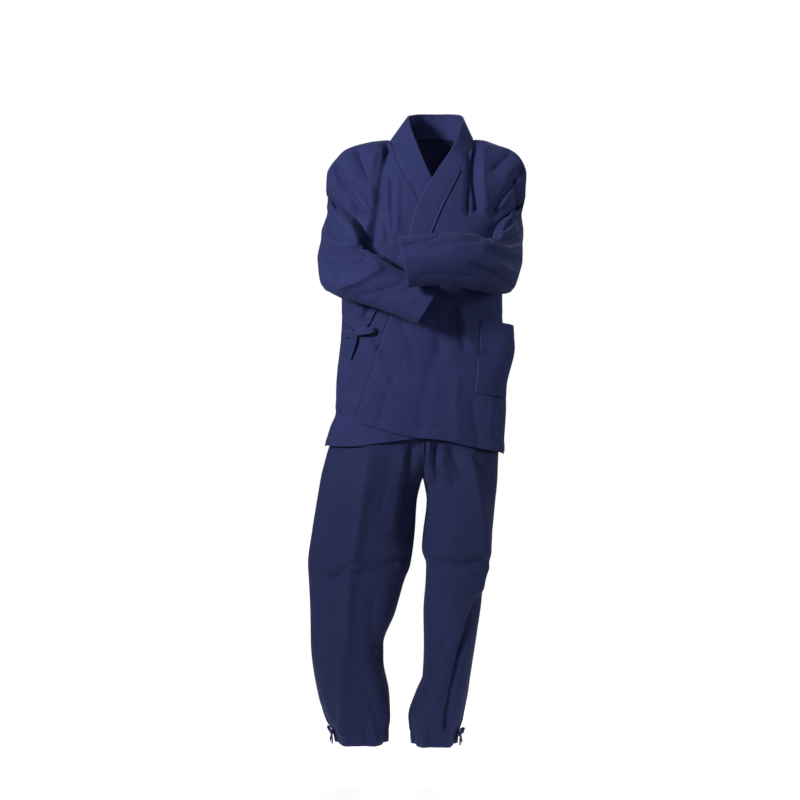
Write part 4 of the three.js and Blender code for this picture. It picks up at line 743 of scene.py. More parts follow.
def jacketPoint(across, climb, face, hemOf):   # climb is 0 at the hem, 1 at the chest, 2 on the shoulder
    chest = jacket["chest"]
    if climb <= 1:
        low = hemOf(torsoPoint(across, 800, face).x)
        return torsoPoint(across, lerp(low, chest, climb), face)
    base = torsoPoint(across, chest, face)
    angle = (climb - 1) * math.pi / 2
    rise = math.sin(angle) ** (2 / jacket["archSquareness"])
    reach = max(0, math.cos(angle)) ** (2 / jacket["archSquareness"])
    return Vector((lerp(base.x, ridge["x"](across), rise ** jacket["shoulderLean"]),
                   lerp(ridge["y"](across), base.y, reach), lerp(chest, ridge["z"](across), rise)))


def acrossAt(x, z, face):
    chest = jacket["chest"]

    def difference(across):
        if z <= chest:
            return torsoPoint(across, z, face).x - x
        top = max(ridge["z"](across), chest + 0.01)
        rise = min(1, (z - chest) / (top - chest))
        return lerp(torsoPoint(across, chest, face).x, ridge["x"](across), rise ** jacket["shoulderLean"]) - x
    return solve(difference, -jacket["seamAcross"], jacket["seamAcross"])


def climbAt(across, z):
    chest = jacket["chest"]
    if z <= chest:
        return z / chest
    rise = min(1, (z - chest) / (ridge["z"](across) - chest))
    return 1 + math.asin(rise ** (jacket["archSquareness"] / 2)) / (math.pi / 2)


def jacketNormal(across, climb, face, hemOf):
    step = 0.004

    def at(sideways, upwards):
        return jacketPoint(sideways, upwards, face, hemOf)
    east = at(min(1, across + step), climb) - at(max(-1, across - step), climb)
    north = at(across, min(2, climb + step)) - at(across, climb - step)
    normal = east.cross(north).normalized()
    return normal if face == "front" else -normal


def leftLift(across, z):
    return jacket["layerLift"] * (1 - smooth(0.55, 0.98, across)) * (1 - smooth(1335, 1450, z))


def noLift(across, z):
    return 0


def jacketPlace(across, climb, face, hemOf, lift, extra=0):
    point = jacketPoint(across, climb, face, hemOf)
    normal = jacketNormal(across, climb, face, hemOf)
    front = face == "front"
    overRidge = 1 - smooth(1.8, 1.98, climb)
    folds, creases = (jacketFolds, jacketCreases) if front else (backFolds, backCreases)
    depth = clothDepth(folds, creases, crease["jacket"], point.x, point.z)
    offset = lift(across, point.z) - depth * overRidge + extra + crumple(point, jacket["uneven"])
    placed = point + normal * offset
    placed.y += (-1 if front else 1) * jacket["seamGap"] * smooth(1.04, 0.99, climb) / 2
    return placed, normal


def acrossOnLine(line, climb, face, hemOf, shift=0):
    def difference(across):
        point = jacketPoint(across, climb, face, hemOf)
        return point.x - line(point.z) - shift
    return solve(difference, -0.99, 0.99)


def centreLine(z):
    low = min(z, jacket["chest"])
    return lerp((ring["left"](low) + ring["right"](low)) / 2, jacket["neckCentre"],
                smooth(jacket["chest"], jacket["neckBase"], z))


def armholeCurve(points, sign, face):
    climbs, acrosses = [1], [sign]
    for x, z in points:
        across = acrossAt(x, z, face)
        climbs.append(climbAt(across, z))
        acrosses.append(across)
    return curveOf(climbs + [2], acrosses + [sign * jacket["seamAcross"]])


climbRows = finer([i / jacket["lowerRows"] for i in range(jacket["lowerRows"] + 1)]
                  + [1 + angle / 90 for angle in jacket["arch"]], jacket["finer"])
chestRow = jacket["lowerRows"] * jacket["finer"]
overlapTop = 10 / jacket["lowerRows"]


def panelRow(start, end, columns, climb, face, hemOf, lift):
    return [jacketPlace(lerp(start, end, j / columns), climb, face, hemOf, lift) for j in range(columns + 1)]


def mainPanel(sign):
    left = sign > 0
    hemOf = hem["leftFront" if left else "rightFront"]
    lift = leftLift if left else noLift
    neck = neckLeft if left else neckRight
    overlap = overlapLeft if left else overlapRight
    side = "left" if left else "right"
    frontArm = armholeCurve(armholes[side + "Front"], sign, "front")
    backArm = armholeCurve(armholes[side + "Back"], sign, "back")
    slit = jacket["slitLeft" if left else "slitRight"]
    gap = sign * jacket["seamGap"] / 2
    columns = jacket["columns"] * jacket["finer"]

    def outerEdge(climb, face, rowHem, arm):
        if climb >= 1:
            return arm(climb)
        z = jacketPoint(sign, climb, face, rowHem).z
        return sign * (1 - jacket["slitOpening"] * min(1, max(0, (slit - z) / 80)))

    neckAcross = acrossOnLine(neck, 2, "front", hemOf)
    grid = []
    for climb in climbRows:
        start = acrossOnLine(overlap if climb <= overlapTop + 1e-6 else neck, climb, "front", hemOf, gap)
        end = outerEdge(climb, "front", hemOf, frontArm)
        grid.append(panelRow(start, end, columns, climb, "front", hemOf, lift))
    for climb in climbRows[::-1][1:]:
        dropped = min(1, 90 * (2 - climb) / jacket["neckDrop"])
        centre = acrossOnLine(centreLine, climb, "back", hem["back"], gap)
        start = lerp(centre, neckAcross, math.sqrt(max(0, 1 - dropped * dropped)))
        end = outerEdge(climb, "back", hem["back"], backArm)
        grid.append(panelRow(start, end, columns, climb, "back", hem["back"], noLift))
    return grid


def overlapStrip(left):
    hemOf = hem["leftFront" if left else "rightFront"]
    lift = leftLift if left else noLift
    gap = (1 if left else -1) * jacket["seamGap"] / 2
    columns = 4 * jacket["finer"]
    grid = []
    for climb in climbRows:
        if climb <= overlapTop + 1e-6:
            start = acrossOnLine(freeLeft if left else freeRight, climb, "front", hemOf)
            end = acrossOnLine(overlapLeft if left else overlapRight, climb, "front", hemOf, -gap)
            grid.append(panelRow(start, end, columns, climb, "front", hemOf, lift))
    return grid


panels = {}
hemWidth = seam["hemWidth"]
slitRows = chestRow // 4
for side, sign in (("left", 1), ("right", -1)):
    panel = seamRelief(mainPanel(sign), seams=("from",), hems=(("low", hemWidth), ("high", hemWidth)),
                       holdFrom="x")
    toArm = edgeDistances(panel, "to")
    panel = addRelief(panel, lambda point, normal, i, j:
                      -seam["armholeDip"] * math.exp(-((toArm[i][j] / seam["reach"]) ** 2)))
    piece = clothMesh("jacketPanel_" + side, panel, jacket["wall"], jacketCotton,
                      wear=wearNear(panel, ("low", "high", "to")))
    finishCloth(piece, "body_" + side, "jacket_cloth", *cuts["panel"])
    armholeEnd = chestRow + 2 * len(jacket["arch"]) * jacket["finer"]
    for edge, distance, first, last in (
            ("low", hemWidth, 0, None), ("high", hemWidth, 0, None),
            ("from", stitchAt["seam"], 0, int(chestRow * overlapTop)), ("to", stitchAt["slit"], 0, slitRows),
            ("to", stitchAt["slit"], -slitRows, None), ("to", stitchAt["slit"], chestRow, armholeEnd)):
        stitchLines["jacket"].append(lineBeside(panel, edge, distance, first, last))
    strip = seamRelief(overlapStrip(side == "left"), seams=("to",),
                       hems=(("low", hemWidth), ("from", seam["freeHem"])), holdTo="x")
    piece = clothMesh("jacketOverlap_" + side, strip, jacket["wall"], jacketCotton,
                      wear=wearNear(strip, ("low", "from")))
    finishCloth(piece, "overlap_" + side, "jacket_cloth", *cuts["overlap"])
    for edge, distance in (("low", hemWidth), ("to", stitchAt["seam"]), ("from", stitchAt["freeEdge"])):
        stitchLines["jacket"].append(lineBeside(strip, edge, distance))
    panels[side] = panel
    panels["strip_" + side] = strip
    print("jacket", side, "panel and overlap ready")

# Collar band
collar = {
    "columns": 3, "proud": 1.8, "endGap": 0.5, "raise": -3.0, "wall": 3.3, "insideColumn": 16, "smoothing": 4,
    "seamDip": 1.3, "edgeDip": 1.2, "edgeReach": 2.5,
    "over": [42, 54, 64, 71, 76.6, 82.7, 90, 97.3, 103.4, 107.6, 109],
    "stand": [0, 0.4, 0.9, 1, 1, 1, 1, 1, 1, 1, 1],
    "left": [(13, -90, 1386), (40, -76, 1426), (58, -60, 1458), (66, -48, 1478), (71, -36, 1494),
             (75, -22, 1506), (76, -4, 1515), (72, 17, 1520), (58, 37, 1523), (38, 49, 1524),
             (16, 53, 1524)],
    "right": [(6, -90, 1386), (-14, -78, 1430), (-30, -60, 1464), (-38, -46, 1484), (-43, -32, 1499),
              (-45, -18, 1509), (-44, -2, 1517), (-38, 18, 1520), (-25, 37, 1523), (-6, 49, 1524),
              (16, 53, 1524)],
}
standOf = curveOf(collar["over"], collar["stand"])
standingEdge = {side: [curveOf(collar["over"], [p[axis] for p in collar[side]]) for axis in range(3)]
                for side in ("left", "right")}


def collarSeam(panel):
    first = round(overlapTop * chestRow)
    behind = sum(1 for angle in jacket["arch"] if 90 - jacket["neckDrop"] <= angle < 90) * jacket["finer"]
    last = len(climbRows) - 1 + behind
    entries = []
    for i in range(first, last + 1):
        front = i < len(climbRows)
        climb = climbRows[i] if front else 4 - climbRows[2 * len(climbRows) - 2 - i]
        column = collar["insideColumn"]
        inside = panel[i][column] if front else panel[min(i + column, len(panel) - 1)][column]
        point, normal = panel[i][0]
        entries.append({"point": point, "normal": normal, "inside": inside[0], "climb": climb})
    entries[0]["point"] = entries[0]["point"] + Vector((0, 0, collar["endGap"]))
    return entries


def collarRow(entry, along, left):
    over = (entry["climb"] - 1) * 90
    stand = standOf(max(over, collar["over"][0]))
    normal = entry["normal"]
    away = along.cross(normal).normalized()
    if away.dot(entry["point"] - entry["inside"]) < 0:
        away.negate()
    base = entry["point"] + away * jacket["seamGap"] + normal * collar["raise"] * stand
    edge = Vector([axis(over) for axis in standingEdge["left" if left else "right"]])
    upright = edge - base
    outward = along.cross(upright).normalized()
    if outward.dot(Vector((base.x - jacket["neckCentre"], base.y, 0))) < 0:
        outward.negate()
    lift = leftLift if left else noLift
    line = collarFreeLeft if left else collarFreeRight
    hemOf = hem["leftFront" if left else "rightFront"]
    columns = collar["columns"] * jacket["finer"]
    row = []
    start = end = None
    if stand < 1:
        start = acrossAt(base.x, base.z, "front")
        end = acrossOnLine(line, entry["climb"], "front", hemOf)
    for j in range(columns + 1):
        share = j / columns
        standNormal = normal.lerp(outward, min(1, share * 3 + 0.4)).normalized()
        standing = base + upright * share + standNormal * collar["proud"]
        if stand >= 1:
            row.append((standing, standNormal))
            continue
        lying, lyingNormal = jacketPlace(lerp(start, end, share), entry["climb"], "front", hemOf, lift,
                                         collar["proud"])
        held = base + normal * collar["proud"]
        lying = held.lerp(lying, smooth(0, 0.3, share))
        row.append((lying.lerp(standing, stand), lyingNormal.lerp(standNormal, stand).normalized()))
    return row


leftSeam, rightSeam = collarSeam(panels["left"]), collarSeam(panels["right"])
nape, otherNape = leftSeam.pop(), rightSeam.pop()
nape["point"] = (nape["point"] + otherNape["point"]) / 2
nape["normal"] = (nape["normal"] + otherNape["normal"]).normalized()
path = leftSeam + [nape] + rightSeam[::-1]
collarGrid = []
for i, entry in enumerate(path):
    reach = collar["smoothing"]
    along = path[min(len(path) - 1, i + reach)]["point"] - path[max(0, i - reach)]["point"]
    collarGrid.append(collarRow(entry, along, i <= len(leftSeam)))
collarGrid = renewed(collarGrid)
collarEdges = edgeDistances(collarGrid, "from"), edgeDistances(collarGrid, "to")


def collarRelief(point, normal, i, j):   # padded band: rounded at both edges, slightly full between
    dips = collar["seamDip"], collar["edgeDip"]
    rounded = sum(dip * math.exp(-((far[i][j] / collar["edgeReach"]) ** 2))
                  for dip, far in zip(dips, collarEdges))
    return crumple(point, 0.5, 60) - rounded


collarGrid = addRelief(collarGrid, collarRelief)
piece = clothMesh("collarBand", collarGrid, collar["wall"], collarCotton,
                  wear=wearNear(collarGrid, ("to", "from")))
finishCloth(piece, "collar", "collar_cloth", *cuts["collar"], "folded")
stitchLines["jacket"] += [lineBeside(collarGrid, edge, stitchAt["edge"]) for edge in ("from", "to")]
print("collar ready")

# Sleeves, ring by ring, with the crook, elbow, front and back points of each
sleeve = {"squareness": 2.3, "rows": 112, "gap": -0.4, "wall": 1.3, "cuffHem": 18, "insideColumn": -10,
          "uneven": 1.2, "underFold": 2.4}
rightRings = {
    "inner": [(-155, -119, 1246), (-152, -132, 1230), (-147, -141, 1222), (-140, -148, 1217),
              (-128, -153, 1213), (-112, -158, 1206), (-92, -163, 1192), (-62, -169, 1174),
              (-20, -176, 1156), (24, -181, 1142)],
    "outer": [(-226, 38, 1232), (-238, 6, 1205), (-243, -30, 1178), (-240, -66, 1153), (-227, -100, 1132),
              (-199, -130, 1115), (-157, -150, 1102), (-112, -164, 1089), (-66, -176, 1073),
              (-26, -185, 1058)],
    "front": [(-226, -34, 1288), (-226, -68, 1252), (-224, -104, 1217), (-217, -134, 1187),
              (-203, -166, 1166), (-172, -189, 1157), (-132, -202, 1148), (-90, -211, 1134),
              (-44, -218, 1116), (0, -222, 1101)],
    "back": [(-222, -16, 1170), (-214, -42, 1148), (-209, -72, 1140), (-199, -98, 1138), (-183, -117, 1142),
             (-155, -130, 1146), (-120, -139, 1140), (-84, -146, 1130), (-42, -152, 1114), (-2, -156, 1099)],
}
leftRings = {
    "inner": [(150, -120, 1250), (148, -140, 1240), (143, -158, 1237), (135, -174, 1238), (122, -192, 1243),
              (98, -212, 1251), (66, -232, 1256), (28, -248, 1256), (-18, -260, 1251), (-68, -266, 1244)],
    "outer": [(203, 38, 1228), (205, 6, 1198), (202, -32, 1170), (194, -78, 1144), (178, -128, 1125),
              (150, -168, 1122), (106, -204, 1131), (54, -232, 1140), (6, -252, 1143), (-46, -262, 1140)],
    "front": [(208, -32, 1286), (204, -72, 1252), (196, -118, 1222), (184, -168, 1202), (163, -222, 1188),
              (132, -254, 1184), (88, -280, 1190), (40, -298, 1196), (-6, -306, 1196), (-57, -308, 1192)],
    "back": [(190, -12, 1160), (182, -46, 1158), (173, -88, 1158), (160, -121, 1160), (146, -148, 1166),
             (122, -171, 1172), (88, -198, 1176), (42, -222, 1188), (-6, -229, 1190), (-57, -231, 1188)],
}


def sleeveGrid(panel, sign, rings):
    armRows = len(jacket["arch"]) * jacket["finer"]
    top = chestRow + armRows
    loop = panel[chestRow:top + 1] + panel[top + 1:top + armRows]
    count = len(loop)
    edge = [row[-1] for row in loop]
    inside = [row[sleeve["insideColumn"]][0] for row in loop]
    start = []
    for k in range(count):
        point, normal = edge[k]
        away = (edge[(k + 1) % count][0] - edge[k - 1][0]).cross(normal).normalized()
        if away.dot(point - inside[k]) < 0:
            away.negate()
        start.append(point + away * sleeve["gap"])
    lengths = [0]
    for k in range(count):
        lengths.append(lengths[-1] + (edge[(k + 1) % count][0] - edge[k][0]).length)
    atRidge, whole = lengths[armRows], lengths[-1]
    turns = [lengths[k] / atRidge * math.pi if k <= armRows
             else math.pi * (1 + (lengths[k] - atRidge) / (whole - atRidge)) for k in range(count)]
    power = 2 / sleeve["squareness"]
    shapes = [start]
    number = len(rings["inner"])
    for r in range(number):
        evened = smooth(0, number - 1, r)
        sides = {key: Vector(rings[key][r]) for key in rings}
        centre = sum(sides.values(), Vector()) / 4
        shape = []
        for k in range(count):
            turn = lerp(turns[k], k / count * 2 * math.pi, evened) - math.pi / 2
            toSide = sides["inner" if math.cos(turn) > 0 else "outer"] - centre
            toFace = sides["front" if math.sin(turn) > 0 else "back"] - centre
            shape.append(centre + toSide * abs(math.cos(turn)) ** power
                         + toFace * abs(math.sin(turn)) ** power)
        shapes.append(shape)
    last = len(shapes) - 1
    surface = []
    for i in range(sleeve["rows"] + 1):
        at = i / sleeve["rows"] * last
        a = min(last - 1, int(at))
        surface.append([catmullRom(shapes[max(0, a - 1)][k], shapes[a][k], shapes[a + 1][k],
                                   shapes[min(last, a + 2)][k], at - a) for k in range(count)])
    grid = []
    for i, row in enumerate(surface):
        out = []
        for k, point in enumerate(row):
            around = row[(k + 2) % count] - row[k - 2]
            along = surface[min(i + 1, sleeve["rows"])][k] - surface[max(0, i - 1)][k]
            normal = around.cross(along).normalized() * -sign
            facing = smooth(-0.1, 0.5, -normal.y) * smooth(0, sleeve["rows"] * 0.1, i)
            depth = clothDepth(sleeveFolds, sleeveCreases, crease["sleeve"], point.x, point.z) * facing
            hidden = 1 - smooth(-0.3, 0.3, -normal.y)   # the side towards the chest has its own plain folds
            middle = smooth(5, 26, i) * smooth(94, 66, i)
            depth += hidden * sleeve["underFold"] * math.sin(i * 0.32 + 1.3 * math.sin(k * 0.04)) * middle
            wave = crumple(point, sleeve["uneven"]) * smooth(0, 10, i)
            hemFold = seam["fold"] * smooth(0.87, 0.9, i / sleeve["rows"])
            out.append((point + normal * (wave + hemFold - depth), normal))
        grid.append(out + [out[0]])
    return grid


for side, sign, rings in (("left", 1, leftRings), ("right", -1, rightRings)):
    grid = sleeveGrid(panels[side], sign, rings)
    grid = seamRelief(grid, hems=(("high", sleeve["cuffHem"]),))
    for row in grid:
        row[-1] = row[0]
    piece = clothMesh("sleeve_cloth_" + side, grid, sleeve["wall"], jacketCotton, around=True,
                      wear=wearNear(grid, ("high",)))
    finishCloth(piece, "sleeve_" + side, "jacket_cloth", *cuts["sleeve_" + side])
    stitchLines["jacket"] += [lineBeside(grid, "high", far) for far in (sleeve["cuffHem"], stitchAt["edge"])]
    print("sleeve", side, "ready")


# Patch pocket and waist tie lie on the front
def onCloth(grid, x, z, out, rows=None):
    best = None
    for row in grid[:rows]:
        if abs(row[0][0].z - z) > 60 and abs(row[-1][0].z - z) > 60:
            continue
        for point, normal in row:
            far = (point.x - x) ** 2 + (point.z - z) ** 2
            if best is None or far < best[0]:
                best = (far, point, normal)
    far, point, normal = best
    dx, dz = x - point.x, z - point.z
    spot = Vector((x, point.y - (normal.x * dx + normal.z * dz) / normal.y, z))
    return spot + normal * out, normal


pocket = {
    "z": [889, 925, 980, 1052], "inner": [100, 103, 107, 113], "outer": [173, 174.5, 174, 168.5],
    "gape": 23, "ease": 1.3, "proud": 1.6, "tiltInner": 12, "tiltOuter": -8, "rows": 56, "columns": 44,
    "wall": 1.3, "mouthHem": 24,
}
pocketInner, pocketOuter = curveOf(pocket["z"], pocket["inner"]), curveOf(pocket["z"], pocket["outer"])
frontRows = len(climbRows)
pocketGrid = []
for i in range(pocket["rows"] + 1):
    rise = i / pocket["rows"]
    z = lerp(pocket["z"][0], pocket["z"][-1], rise)
    start, end = acrossAt(pocketInner(z), z, "front"), acrossAt(pocketOuter(z), z, "front")
    row = []
    for j in range(pocket["columns"] + 1):
        share = j / pocket["columns"]
        across = lerp(start, end, share)
        bulge = smooth(0, 0.7, share) * (1 - smooth(0.84, 1, share))
        gape = pocket["gape"] * smooth(0.05, 0.75, rise) * bulge
        tilted = z + lerp(pocket["tiltInner"], pocket["tiltOuter"], share)
        across = acrossAt(torsoPoint(across, z, "front").x, tilted, "front")
        spot = torsoPoint(across, tilted, "front")
        normal = jacketNormal(across, climbAt(across, tilted), "front", hem["leftFront"])
        ridges = max(0, -clothDepth(jacketFolds, jacketCreases, crease["jacket"], spot.x, z))
        lift = leftLift(across, z) + pocket["ease"] + pocket["proud"] + gape + ridges
        row.append((spot + normal * lift, normal))
    pocketGrid.append(row)
pocketGrid = renewed(pocketGrid)
pocketGrid = seamRelief(pocketGrid, seams=("from", "to", "low"), hems=(("high", pocket["mouthHem"]),))
piece = clothMesh("patchPocket", pocketGrid, pocket["wall"], jacketCotton,
                  wear=wearNear(pocketGrid, ("high", "from", "to", "low")))
finishCloth(piece, "pocket", "jacket_cloth", *cuts["pocket"], "stretched")
for edge, key in (("from", "pocket"), ("to", "pocket"), ("low", "pocket"), ("high", "mouth")):
    stitchLines["jacket"].append(lineBeside(pocketGrid, edge, stitchAt[key]))
print("pocket ready")

tie = {
    "width": 15, "wall": 2.0, "loopPinch": 0.4,
    "knot": {"x": -157, "z": 1032, "out": 13, "aside": 8.4, "up": 7, "thick": 5},
    "longLoop": [(-156, 1033, 12), (-138, 1036, 12.9), (-122, 1041, 13), (-116, 1044, 17), (-122, 1043, 21),
                 (-138, 1038, 22), (-156, 1034, 15)],
    "shortLoop": [(-158, 1032, 12), (-167, 1034, 11), (-175, 1036, 11), (-178, 1037, 15), (-175, 1036, 19),
                  (-167, 1034, 19), (-158, 1032, 15)],
    "tailOuter": [(-158, 1031, 13), (-165, 1014, 13), (-174, 998, 11), (-181, 984, 11)],
    "tailInner": [(-156, 1031, 13), (-159, 1012, 14), (-165, 993, 12), (-168, 976, 12.5)],
    "frontStrap": [(-115, 1097, 2.4), (-125, 1079, 2.6), (-136, 1060, 3), (-143, 1048, 4)],
    "sideStrap": [(-189.5, 1046, 2.6), (-184, 1043, 3.2), (-176, 1038, 4.6), (-167, 1034, 6)],
}


def ribbonGrid(line, ways, width, steps, cup=0.0, pinch=0.0):   # pinch narrows it halfway, at a loop's tip
    last = len(line) - 1

    def middleAt(k, t):
        return catmullRom(*(line[min(last, max(0, n))] for n in range(k - 1, k + 3)), t)

    grid = []
    for i in range(steps + 1):
        at = i / steps * last
        k = min(last - 1, int(at))
        t = at - k
        middle = middleAt(k, t)
        along = (middleAt(k, min(1, t + 0.05)) - middleAt(k, max(0, t - 0.05))).normalized()
        across = ways[k].lerp(ways[k + 1], t)
        across = (across - along * across.dot(along)).normalized()
        face = along.cross(across).normalized()
        here = width * (1 - pinch * math.exp(-(((i / steps - 0.5) / 0.13) ** 2)))
        shares = [step / 8 - 0.5 for step in range(9)]
        grid.append([(middle + across * here * share + face * cup * (0.25 - share * share) * 4, face)
                     for share in shares])
    return grid


def joinPieces(name, pieces):   # one mesh from several finished ones, modifiers baked in
    bm = bmesh.new()
    graph = bpy.context.evaluated_depsgraph_get()
    for other in pieces:
        bm.from_mesh(other.evaluated_get(graph).to_mesh())
        other.evaluated_get(graph).to_mesh_clear()
    joined = pieceFrom(name, bm, pieces[0].data.materials[0])
    for other in pieces:
        bpy.data.objects.remove(other)
    return joined


# turns of the cloth round a knot: how deep the groove between them is, its way round, place and width
knotGrooves = [(0.16, (1, 0.25), 0.3, 0.14), (0.12, (1, -0.3), -0.42, 0.13), (0.07, (-0.35, 1), 0, 0.12)]


def knotPiece(name, centre, normal, aside, up, thick, material):   # a ball drawn in by its turns
    bm = bmesh.new()
    bmesh.ops.create_uvsphere(bm, u_segments=40, v_segments=28, radius=1, calc_uvs=False)
    uvLayer = bm.loops.layers.uv.new("clothUv")
    for vert in bm.verts:
        x, y, z = vert.co
        vert.co *= 1 - sum(depth * math.exp(-(((x * way[0] + y * way[1]) - at) / width) ** 2)
                           for depth, way, at, width in knotGrooves)
        vert.co.z *= 1 - 0.15 * abs(y)
    for face in bm.faces:
        face.smooth = True
        for loop in face.loops:
            loop[uvLayer].uv = (loop.vert.co.x * 0.012, loop.vert.co.y * 0.012)
    sideways = Vector((0, 0, 1)).cross(normal).normalized()
    level = normal.cross(sideways).normalized()
    turned = Matrix((sideways, level, normal)).transposed().to_4x4()
    size = Matrix.Diagonal((aside / 1000, up / 1000, thick / 1000, 1))
    bm.transform(Matrix.Translation(place(centre)) @ turned @ size)
    return pieceFrom(name, bm, material)


def tieRibbon(name, grid, rows, loop, steps, cup=0.6):
    spots = [onCloth(grid, x, z, out, frontRows) for x, z, out in rows]
    line = [spot for spot, normal in spots]
    ways = []
    for k, (spot, normal) in enumerate(spots):
        along = line[min(k + 1, len(line) - 1)] - line[max(k - 1, 0)]
        ways.append(Vector((0, 0, 1)) if loop else along.cross(normal).normalized())
    ribbon = ribbonGrid(line, ways, tie["width"], steps, cup, tie["loopPinch"] if loop else 0.0)
    stitchLines["jacket"] += [lineBeside(ribbon, edge, stitchAt["ribbon"]) for edge in ("from", "to")]
    return clothMesh(name, ribbon, tie["wall"], tieCotton, wear=wearNear(ribbon, ("from", "to")))


strapFront = tieRibbon("tieStrap_front", panels["strip_left"], tie["frontStrap"], False, 30, 0.3)
finishPiece(strapFront, "tie_strap_front")
strapSide = tieRibbon("tieStrap_side", panels["right"], tie["sideStrap"], False, 24, 0.3)
finishPiece(strapSide, "tie_strap_side")
knot = tie["knot"]
spot, normal = onCloth(panels["right"], knot["x"], knot["z"], knot["out"], frontRows)
bowPieces = [knotPiece("waistKnot", spot, normal, knot["aside"], knot["up"], knot["thick"], tieCotton)]
for key in ("longLoop", "shortLoop", "tailOuter", "tailInner"):
    bowPieces.append(tieRibbon("waistRibbon_" + key, panels["right"], tie[key], "Loop" in key, 44))
bpy.context.view_layer.update()
finishPiece(joinPieces("waistBow", bowPieces), "tie_bow")
print("waist tie ready")

# Trousers: both legs, front and back
legRings = {
    "right": {
        "z": [88, 110, 142, 199, 274, 311, 386, 460, 497, 571, 645, 686, 703, 730, 765, 815, 880, 960, 1044],
        "side": [-212, -214, -235, -253, -266, -269, -270, -273, -275, -266, -254, -247, -244, -237, -227,
                 -204, -191, -178, -168],
        "inner": [-91, -90, -86, -89, -102, -102, -75, -54, -40, -30, -25, -16] + [-12] * 7,
        "crest": [-152, -152, -160, -171, -184, -186, -172, -164, -158, -148, -140, -132, -114, -91, -66,
                  -36, -25, -24, -24],
        "front": [-68, -68, -74, -79, -80, -80, -82, -86, -89, -93, -99, -102, -103, -105, -106, -107,
                  -106, -101, -96],
        "back": [58, 60, 66, 74, 80, 82, 84, 84, 84, 88, 98, 106, 109, 112, 115, 116, 112, 101, 90],
        "innerFront": [0] * 11 + [-2, -46, -78, -98, -107, -106, -101, -96],
        "innerBack": [0] * 11 + [2, 40, 78, 104, 116, 112, 101, 90],
    },
    "left": {
        "z": [84, 105, 142, 199, 236, 311, 386, 460, 497, 534, 571, 645, 686, 703, 730, 765, 815, 880,
              960, 1044],
        "side": [68, 70, 82, 93, 98, 109, 120, 129, 138, 143, 147, 154, 158, 159, 160, 161, 160, 157, 151,
                 142],
        "inner": [-38, -40, -45, -27, -12, -9, -10, -5, -4, -14, -11, -3, -9] + [-12] * 7,
        "crest": [15, 15, 18, 33, 43, 50, 55, 62, 67, 64, 68, 76, 74, 63, 48, 31, 10, 1, 0, 0],
        "front": [-64, -64, -70, -76, -78, -80, -82, -86, -89, -91, -93, -99, -102, -103, -105, -106,
                  -107, -106, -101, -96],
        "back": [58, 60, 66, 74, 78, 82, 84, 84, 84, 86, 88, 98, 106, 109, 112, 116.5, 116, 112, 101, 90],
        "innerFront": [0] * 12 + [-2, -46, -78, -98, -107, -106, -101, -96],
        "innerBack": [0] * 12 + [2, 40, 78, 104, 116, 112, 101, 90],
    },
}
leg = {"squareness": 2.3, "crotch": 690, "rows": 184, "columns": 80, "waves": 3, "depth": 4.5,
       "gatherTop": 175, "wall": 1.3, "casing": 21, "casingProud": 0.9, "casingDip": 1.4, "gatherDepth": 2.9,
       "gatherWidth": 0.022, "frontShift": 0.03, "uneven": 1.3}


def legPoint(curves, share, z, face):
    side, inner, middle, depth = curves["side"](z), curves["inner"](z), curves["crest"](z), curves[face](z)
    innerDepth = curves["innerFront" if face == "front" else "innerBack"](z)
    power = 2 / leg["squareness"]
    sideways = abs(math.cos(share * math.pi)) ** power
    facing = abs(math.sin(share * math.pi)) ** power
    if share <= 0.5:
        return Vector((lerp(middle, side, sideways), depth * facing, z))
    return Vector((lerp(middle, inner, sideways), lerp(innerDepth, depth, facing), z))


def legNormal(curves, share, z, face, low, high, sign):
    east = legPoint(curves, min(1, share + 0.01), z, face) - legPoint(curves, max(0, share - 0.01), z, face)
    north = legPoint(curves, share, min(high, z + 4), face) - legPoint(curves, share, max(low, z - 4), face)
    return east.cross(north).normalized() * ((1 if face == "front" else -1) * -sign)


# gathers above the ankle casing: share of the way round, height
gathers = [(0.04, 0.9), (0.11, -0.8), (0.17, 1.0), (0.23, -0.7), (0.3, 0.7), (0.37, -1.0), (0.45, 0.9),
           (0.52, -0.8), (0.6, 1.0), (0.66, -0.9), (0.73, 0.8), (0.81, -1.0), (0.88, 0.9), (0.95, -0.7)]


def legCurves(side):
    table = legRings[side]
    return {key: curveOf(table["z"], table[key]) for key in table if key != "z"}


def casingRelief(above, share, z, shift):   # gathers die out upwards; the casing lies double, sewn in above
    fine = sum(height * math.exp(-(((share - at - shift + 0.006 * math.sin(z / 9 + at * 40))
                                    / leg["gatherWidth"]) ** 2)) for at, height in gathers)
    fine *= leg["gatherDepth"] * smooth(92, 30, above) * (1 - 0.45 * smooth(22, 6, above))
    casing = leg["casingProud"] * (1 - smooth(leg["casing"] - 1, leg["casing"] + 2, above))
    casing -= leg["casingDip"] * math.exp(-(((above - leg["casing"] - 2) / 2.6) ** 2))
    return fine, casing


